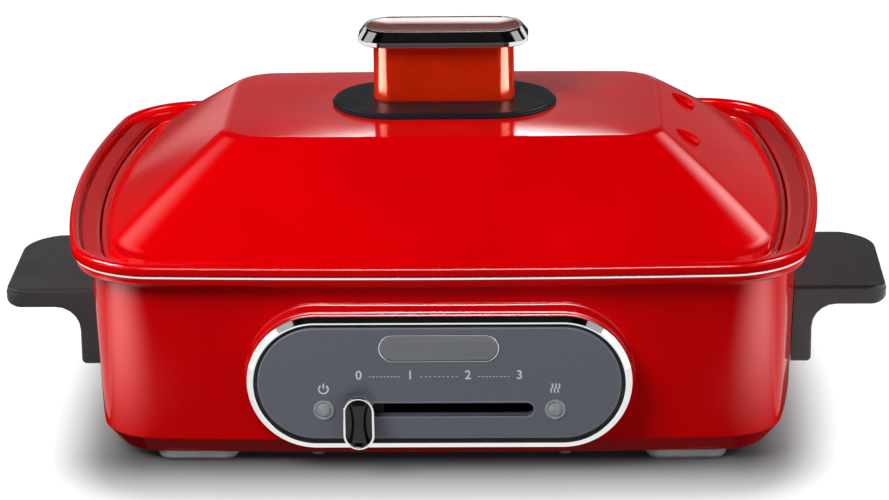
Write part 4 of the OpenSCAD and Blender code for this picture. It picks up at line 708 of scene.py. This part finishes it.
def scale_marks():
    """Numbers 0 to 3 over the scale with a dashed line between them, and the two lamps' signs: a ring with a gap and
    a bar, and three waves (sines drawn upwards)."""
    for text, x in zip("0123", MARKS_X):
        curve = bpy.data.curves.new("figure_" + text, "FONT")
        curve.body, curve.size, curve.extrude, curve.offset = text, 5.6 * MM, 0.03 * MM, 0.1 * MM
        curve.align_x, curve.align_y = "CENTER", "CENTER"
        figure = placed("figure_outline", curve)
        mesh = evaluated(figure)
        bpy.data.objects.remove(figure)
        turn = Matrix.Rotation(math.pi / 2, 4, "X")
        mesh.transform(Matrix.Translation(Vector((x, PANEL_Y - FACE_FRONT - 0.02, PANEL_Z + SCALE_Y)) * MM) @ turn)
        mesh.name = "scale_figure_" + text
        tidy_mesh(mesh, 30, turn=False)
        settle(placed(mesh.name, mesh), INK, "base", "lens_grey")
    dashes = []
    for start, end in zip(MARKS_X[:-1], MARKS_X[1:]):
        for x in np.linspace(start + 4.8, end - 4.8, 9):
            dashes.append(ribbon([(x - 0.45, SCALE_Y - 0.6), (x + 0.45, SCALE_Y - 0.6)], DASH_W, INK_T))
    printed("scale_dashes", *dashes)
    angle = np.radians(np.linspace(125, 415, 34))
    ring = np.stack([-LENS_X + 2.0 * np.cos(angle), LAMP_SIGN_Y + 2.0 * np.sin(angle)], -1)
    bar = [(-LENS_X, LAMP_SIGN_Y + 0.3), (-LENS_X, LAMP_SIGN_Y + 2.6)]
    printed("power_sign", ribbon(ring, SIGN_W, INK_T), ribbon(bar, SIGN_W, INK_T))
    rise = np.linspace(-2.1, 2.1, 28)
    wave = np.stack([0.42 * np.sin(rise / 4.2 * 2 * math.pi), rise], -1)
    printed("heat_sign", *[ribbon(wave + np.array([LENS_X + aside, LAMP_SIGN_Y + 0.2]), WAVE_W, INK_T)
                           for aside in (-1.5, 0, 1.5)])


def foot(node):
    """Foot pad: a section with rounded lower and upper edges carried round its stadium."""
    low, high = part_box(node)
    size = ((high.x - low.x) / MM, (high.y - low.y) / MM)
    section = eased([(6.0, 0.0, 0), (1.2, 0.0, 1.0), (0.0, 1.6, 1.0), (0.0, 4.5, 0.3), (6.0, 4.5, 0)], closed=False)
    rings = round_stadium(size, section, straight=8, turn=14)
    rings += np.array([(low.x + high.x) / 2 / MM, (low.y + high.y) / 2 / MM, 0])
    settle(skin(node + "_pad", rings), RUBBER, "base", "foot_rubber", node)


housing()
rim_frame()
cooking_pan()
lid_shell()
steam_louvre("steam_louvre_rear", 32.0)
steam_louvre("steam_louvre_front", -26.0)
knob()
handle(-1)
handle(1)
panel_surround()
panel_trim()
badge()
slot_rim()
slider()
lens("lens_power", -LENS_X)
lens("lens_heat", LENS_X)
scale_marks()
for corner in ("front_left", "front_right", "rear_left", "rear_right"):
    foot("foot_" + corner)

# CAD nodes whose shape is right: their triangles are merged and shaded, and they get their finish.
for body, dress, slot, edge, nodes in (
        ("base", LAMP_GLASS, "lamp_glass", 0, "lamp_power lamp_heat"),
        ("base", ZINC, "zinc_steel", 0, "guide_rods base_screws tray_screws element_brackets thermostat_screws "
         "bulb_clips handle_screws panel_studs panel_nuts inlet_screws"),
        ("base", POWDER_COAT, "base_black", 0, "base_plate"),
        ("base", ALUMINIUM, "tray_aluminium", 0, "reflector_tray"),
        ("base", HEATER, "heater_steel", 0, "heating_element"),
        ("base", CERAMIC, "ceramic", 0.3, "element_bushes"),
        ("base", CERAMIC, "ceramic", 0.5, "thermostat_body"),
        ("base", COPPER, "copper", 0, "sensing_bulb capillary_tube"),
        ("base", PHENOLIC, "fuse_case", 0, "thermal_fuse"),
        ("base", BLACK_PBT, "black_plastic", 0.4, "power_inlet"),
        ("base", BRASS, "spindle_brass", 0.4, "inlet_pins"),
        ("lid", ZINC, "zinc_steel", 0, "knob_backing knob_screws"),
        ("slider", BLACK_PBT, "black_plastic", 0, "slider_carriage"),
        ("thermostat", BRASS, "spindle_brass", 0, "thermostat_spindle"),
        ("thermostat", NYLON, "pinion_nylon", 0, "thermostat_pinion")):
    for node in nodes.split():
        smoothed(node, dress, body, slot, edge)
# Silicone-sheathed glass braid of the leads: the 0.5 mm braid is drawn at 1 mm so that it shows.
for node, name, shades, slot in (
        ("live_lead", "brown_glass_braid", ("#6A3A22", "#80502F"), "lead_brown"),
        ("switched_lead", "black_glass_braid", ("#1C1C1D", "#303032"), "lead_black"),
        ("neutral_lead", "blue_glass_braid", ("#27538F", "#3A69A6"), "lead_blue")):
    smoothed(node, finish(name, shades, 1, (0.5, 0.65), 4, 1, 0.05, IOR=1.45), "base", slot)


# Floor, light and camera

# Half of the rectangle round which the floor's shadow is painted, in metres; the sun's height and the camera's
# azimuth, elevation and roll, in degrees; the camera's target in millimetres, its distance in metres and its lens.
PAINTED_SHADOW_HALF = (0.128, 0.1, 0.0)
SUN_HEIGHT = 71
EYE_TURN, EYE_TARGET, EYE_DISTANCE, EYE_LENS = (1.813, 18.647, -0.844), (-0.924, 0, 59.955), 1.58984, 139.13


def seen_white(tree):
    """Socket that is 1 for the rays that see the floor and the background white: camera and transmission rays."""
    ray = add(tree, "LightPath").outputs
    return add(tree, "Math", {0: ray["Is Camera Ray"], 1: ray["Is Transmission Ray"]},
               operation="MAXIMUM").outputs[0]


def studio_floor():
    """Plain pale floor: one square, matt. A glow towards the eye lifts it to white away from the footprint; near it
    the glow fades out, which paints a shadow round the object.
    """
    mesh = square("studio_floor", 8)
    floor = placed("studio_floor", mesh)
    material = bpy.data.materials.new("pale_studio_paper")
    tree = empty_tree(material)
    place = add(tree, "TexCoord").outputs["Object"]
    out = add(tree, "VectorMath", {0: place}, operation="ABSOLUTE").outputs["Vector"]
    out = add(tree, "VectorMath", {0: out, 1: PAINTED_SHADOW_HALF}, operation="SUBTRACT").outputs["Vector"]
    out = add(tree, "VectorMath", {0: out, 1: (0, 0, 0)}, operation="MAXIMUM").outputs["Vector"]
    out = add(tree, "VectorMath", {0: out}, operation="LENGTH").outputs["Value"]
    # The glow fades out near the footprint: a painted shadow round the object, over the sun's real one.
    clear = add(tree, "MapRange", {"Value": out, "From Min": 0.004, "From Max": 0.055, "To Min": 0.0,
                                             "To Max": 0.57}, interpolation_type="SMOOTHSTEP").outputs["Result"]
    glow = add(tree, "Math", {0: seen_white(tree), 1: clear}, operation="MULTIPLY")
    surface = add(tree, "BsdfPrincipled", {
        "Base Color": linear("#595959"), "Roughness": 0.9, "Specular IOR Level": 0.0,
        "Emission Color": (1, 1, 1, 1), "Emission Strength": glow.outputs[0]})
    add(tree, "OutputMaterial", {"Surface": surface.outputs[0]})
    mesh.materials.append(material)
    floor.visible_diffuse = floor.visible_glossy = False
    return floor


def shown_in(light, pieces):
    """Keeps a lamp's or card's light to the named pieces."""
    chosen = bpy.data.collections.new(light.name + "_shown_in")
    for piece in pieces:
        chosen.objects.link(bpy.data.objects[piece])
    light.light_linking.receiver_collection = chosen


def aimed(thing, place, aim):
    """Stands a lamp or card at its place, turned to its aim."""
    thing.location = place
    thing.rotation_euler = (Vector(aim) - Vector(place)).to_track_quat("-Z", "Y").to_euler()


def softbox(name, place, aim, size, power, mirrored=True, only=()):
    """Area lamp at a place in metres, turned to its aim; mirrored says whether glossy surfaces show it. Where pieces
    are named, it is a highlight that only they show."""
    lamp = bpy.data.lights.new(name, "AREA")
    lamp.shape, lamp.size, lamp.size_y, lamp.energy = "RECTANGLE", size[0], size[1], power
    box = placed(name, lamp)
    aimed(box, place, aim)
    box.visible_camera = False
    box.visible_glossy = mirrored
    if only:
        box.visible_diffuse = False
        shown_in(box, only)


def reflector(name, place, aim, size, glow, soft=True, only=()):
    """Card that only glossy surfaces show, turned to its aim: its glow falls off from its middle as the square of
    1 - r^2, or stays even. Where pieces are named, only they show it."""
    mesh = square(name, 1)
    card = placed(name, mesh)
    aimed(card, place, aim)
    card.scale = (size[0] / 2, size[1] / 2, 1)
    for kind in ("camera", "diffuse", "transmission", "shadow", "volume_scatter"):
        setattr(card, "visible_" + kind, False)
    material = bpy.data.materials.new(name)
    tree = empty_tree(material)
    strength = glow
    if soft:
        place = add(tree, "TexCoord").outputs["Object"]
        reach = add(tree, "VectorMath", {0: place, 1: place}, operation="DOT_PRODUCT").outputs["Value"]
        fall = add(tree, "MapRange", {"Value": reach, "To Min": 1.0, "To Max": 0.0}).outputs["Result"]
        fall = add(tree, "Math", {0: fall, 1: 2.0}, operation="POWER").outputs[0]
        strength = add(tree, "Math", {0: fall, 1: glow}, operation="MULTIPLY").outputs[0]
    shine = add(tree, "Emission", {"Color": (1, 1, 1, 1), "Strength": strength})
    clear = add(tree, "BsdfTransparent")
    both = add(tree, "AddShader", {0: shine.outputs[0], 1: clear.outputs[0]})
    add(tree, "OutputMaterial", {"Surface": both.outputs[0]})
    mesh.materials.append(material)
    if only:
        shown_in(card, only)


def studio_light(floor):
    """Room with a pale backdrop near the horizon and a dark ceiling, lamps in front, behind and at both sides, a
    lamp over the floor alone, and cards and lamps that draw the highlights."""
    world = bpy.data.worlds.new("studio_room")
    bpy.context.scene.world = world
    tree = empty_tree(world)
    way = add(tree, "SeparateXYZ", {"Vector": add(tree, "TexCoord").outputs["Generated"]}).outputs
    height = add(tree, "Math", {0: way["Z"], 1: 0.05}, operation="ADD").outputs[0]
    ramp = add(tree, "ValToRGB", {"Fac": height})
    for at, level in ((0.02, 0.06), (0.035, 0.6), (0.11, 0.5), (0.21, 0.28), (0.39, 0.16), (0.5, 0.02), (0.65, 0.008)):
        ramp.color_ramp.elements.new(at).color = (level, level, level, 1)
    ramp.color_ramp.elements[0].color = (0.06, 0.06, 0.06, 1)
    ramp.color_ramp.elements[-1].color = (0.008, 0.008, 0.008, 1)
    level = ramp.outputs["Color"]
    for start, end, rest in ((-0.305, -0.33, 0.1), (0.15, 0.26, 0.3)):
        aside = add(tree, "MapRange", {"Value": way["X"], "From Min": start, "From Max": end, "To Min": 1.0,
                                                 "To Max": rest}, interpolation_type="SMOOTHSTEP").outputs["Result"]
        level = add(tree, "Math", {0: level, 1: aside}, operation="MULTIPLY").outputs[0]
    level = add(tree, "Math", {0: level, 1: seen_white(tree)}, operation="MAXIMUM").outputs[0]
    sky = add(tree, "Background", {"Color": (1, 1, 1, 1), "Strength": level})
    add(tree, "OutputWorld", {"Surface": sky.outputs[0]})
    middle = (0, 0, 0.08)
    softbox("key_box", (-0.4, -0.5, 0.62), middle, (0.35, 0.35), 5.6, mirrored=False)
    softbox("fill_box", (0.5, -0.75, 0.06), middle, (0.3, 0.3), 1.65, mirrored=False)
    softbox("back_box", (0.15, 0.85, 0.16), middle, (0.6, 0.25), 3.4, mirrored=False)
    sun = bpy.data.lights.new("floor_sun", "SUN")
    sun.energy, sun.angle = 16.0, math.radians(18)
    lamp = placed("floor_sun", sun)
    steep = math.radians(SUN_HEIGHT)
    lamp.rotation_euler = Vector((0, -math.cos(steep), -math.sin(steep))).to_track_quat("-Z", "Y").to_euler()
    lamp.visible_glossy = False
    shown_in(lamp, [floor.name])
    solid = bpy.data.collections.new("shadow_of_housing")
    for name in ("housing_wall", "base_plate_skin", "rim_frame_skin", "lid_dome"):
        solid.objects.link(bpy.data.objects[name])
    lamp.light_linking.blocker_collection = solid
    cap = ("knob_cap_skin", "knob_cap_inlay")
    shown = [piece for piece in bpy.context.scene.objects if piece.type == "MESH" and piece != floor
             and piece.data.materials]
    beside_lid = [piece.name for piece in shown if piece.name != "lid_dome"]
    bright = [piece.name for piece in shown if piece.name not in cap
              and piece.data.materials[0] not in (ENAMEL, RED_ABS, KNOB_ABS, HANDLE_PP, ZINC)]
    up = Vector((0, 0, 1))
    reflector("floor_sheen", (0, 0, 0.002), up, (2, 2), 0.9, soft=False, only=bright)
    reflector("lid_card", (-0.03, 1.7, 1.04), middle, (0.46, 0.75), 20, only=("lid_dome",))
    reflector("cap_card", (0, 1.7, 1.25), middle, (0.9, 0.8), 8, only=cap)
    reflector("front_card", (0, -2.2, 1.2), middle, (2.6, 1.3), 14)
    reflector("line_card", (0, -2.2, 1.2), middle, (2.6, 1.3), 40, only=("rim_frame_skin", "panel_surround"))
    for name, side, power, ridge_place, ridge_glow, bead_glow, grip_glow in (
            ("left", -1, 4.4, (0.73, 0.61, 0.73), 1.4, 90, 0.3),
            ("right", 1, 7.0, (0.67, 0.745, 0.6), 3.6, 50, 1.0)):
        box = (side * 0.9, 0.05, 0.33)
        softbox("side_box_" + name, box, middle, (0.4, 0.3), power, mirrored=False)
        softbox("side_shine_" + name, box, middle, (0.4, 0.3), power, only=beside_lid)
        ridge = (side * 0.13, -0.08, 0.11)
        softbox("strip_box_" + name, (side * 0.0477, -0.0188, 0.145), (side * 0.0286, -0.0078, 0.152), (0.024, 0.056),
                0.17, only=("knob_stem",))
        # A card with no aim lies flat.
        for kind, place, aim, size, glow, soft, only in (
                ("ridge_card_", ridge_place, ridge, (0.45, 0.8), ridge_glow, True, ("lid_dome",)),
                ("bead_card_", (0.78, -0.17, 0.71), ridge, (0.9, 0.5), bead_glow, True, ("rim_frame_skin",)),
                ("wing_card_", (0.85, -0.6, 0.3), middle, (0.7, 0.6), 1.0, False, ()),
                ("upper_wing_", (0.8, -0.2, 0.72), middle, (1.4, 0.6), 0.45, False, ()),
                ("facet_card_", (0.7, 0.7, 0.3), (0, 0, 0.165), (0.8, 0.5), 0.7, False, cap),
                ("trim_card_", (0.85, -0.33, 0.3), middle, (0.9, 0.75), 1.0, False, ("panel_trim_ring",)),
                ("grip_card_", (0.6, 0, 0.002), None, (1, 2), grip_glow, False, ("handle_" + name + "_skin",)),
                ("cap_sheen_", (0.75, 0, 0.002), None, (1, 2), 0.9, False, cap),
                ("corner_card_", (0.285, -0.172, 0.003), None, (0.34, 0.26), 6, True, ("housing_wall",)),
                ("edge_card_", (0.32, 0.12, 0.003), None, (0.3, 0.4), 0.5, False, ("housing_wall",))):
            place = Vector((side * place[0], *place[1:]))
            reflector(kind + name, place, aim or place + up, size, glow, soft, only)


def camera():
    """Camera of the photograph: it stands on a ball round its target, turned a little, with a slight roll."""
    azimuth, elevation, roll = (math.radians(a) for a in EYE_TURN)
    target = Vector(EYE_TARGET) * MM
    back = Vector((math.sin(azimuth) * math.cos(elevation), -math.cos(azimuth) * math.cos(elevation),
                   math.sin(elevation)))
    right = (-back).cross(Vector((0, 0, 1))).normalized()
    up = right.cross(-back)
    right, up = (right * math.cos(roll) + up * math.sin(roll), up * math.cos(roll) - right * math.sin(roll))
    lens_data = bpy.data.cameras.new("photo_camera")
    lens_data.sensor_width, lens_data.lens = 36.0, EYE_LENS
    lens_data.clip_start, lens_data.clip_end = 0.05, 60
    eye = placed("photo_camera", lens_data)
    matrix = Matrix((right, up, back)).transposed().to_4x4()
    matrix.translation = target + back * EYE_DISTANCE
    eye.matrix_world = matrix
    bpy.context.scene.camera = eye


studio_light(studio_floor())
camera()
bpy.context.scene.view_settings.view_transform = "Standard"
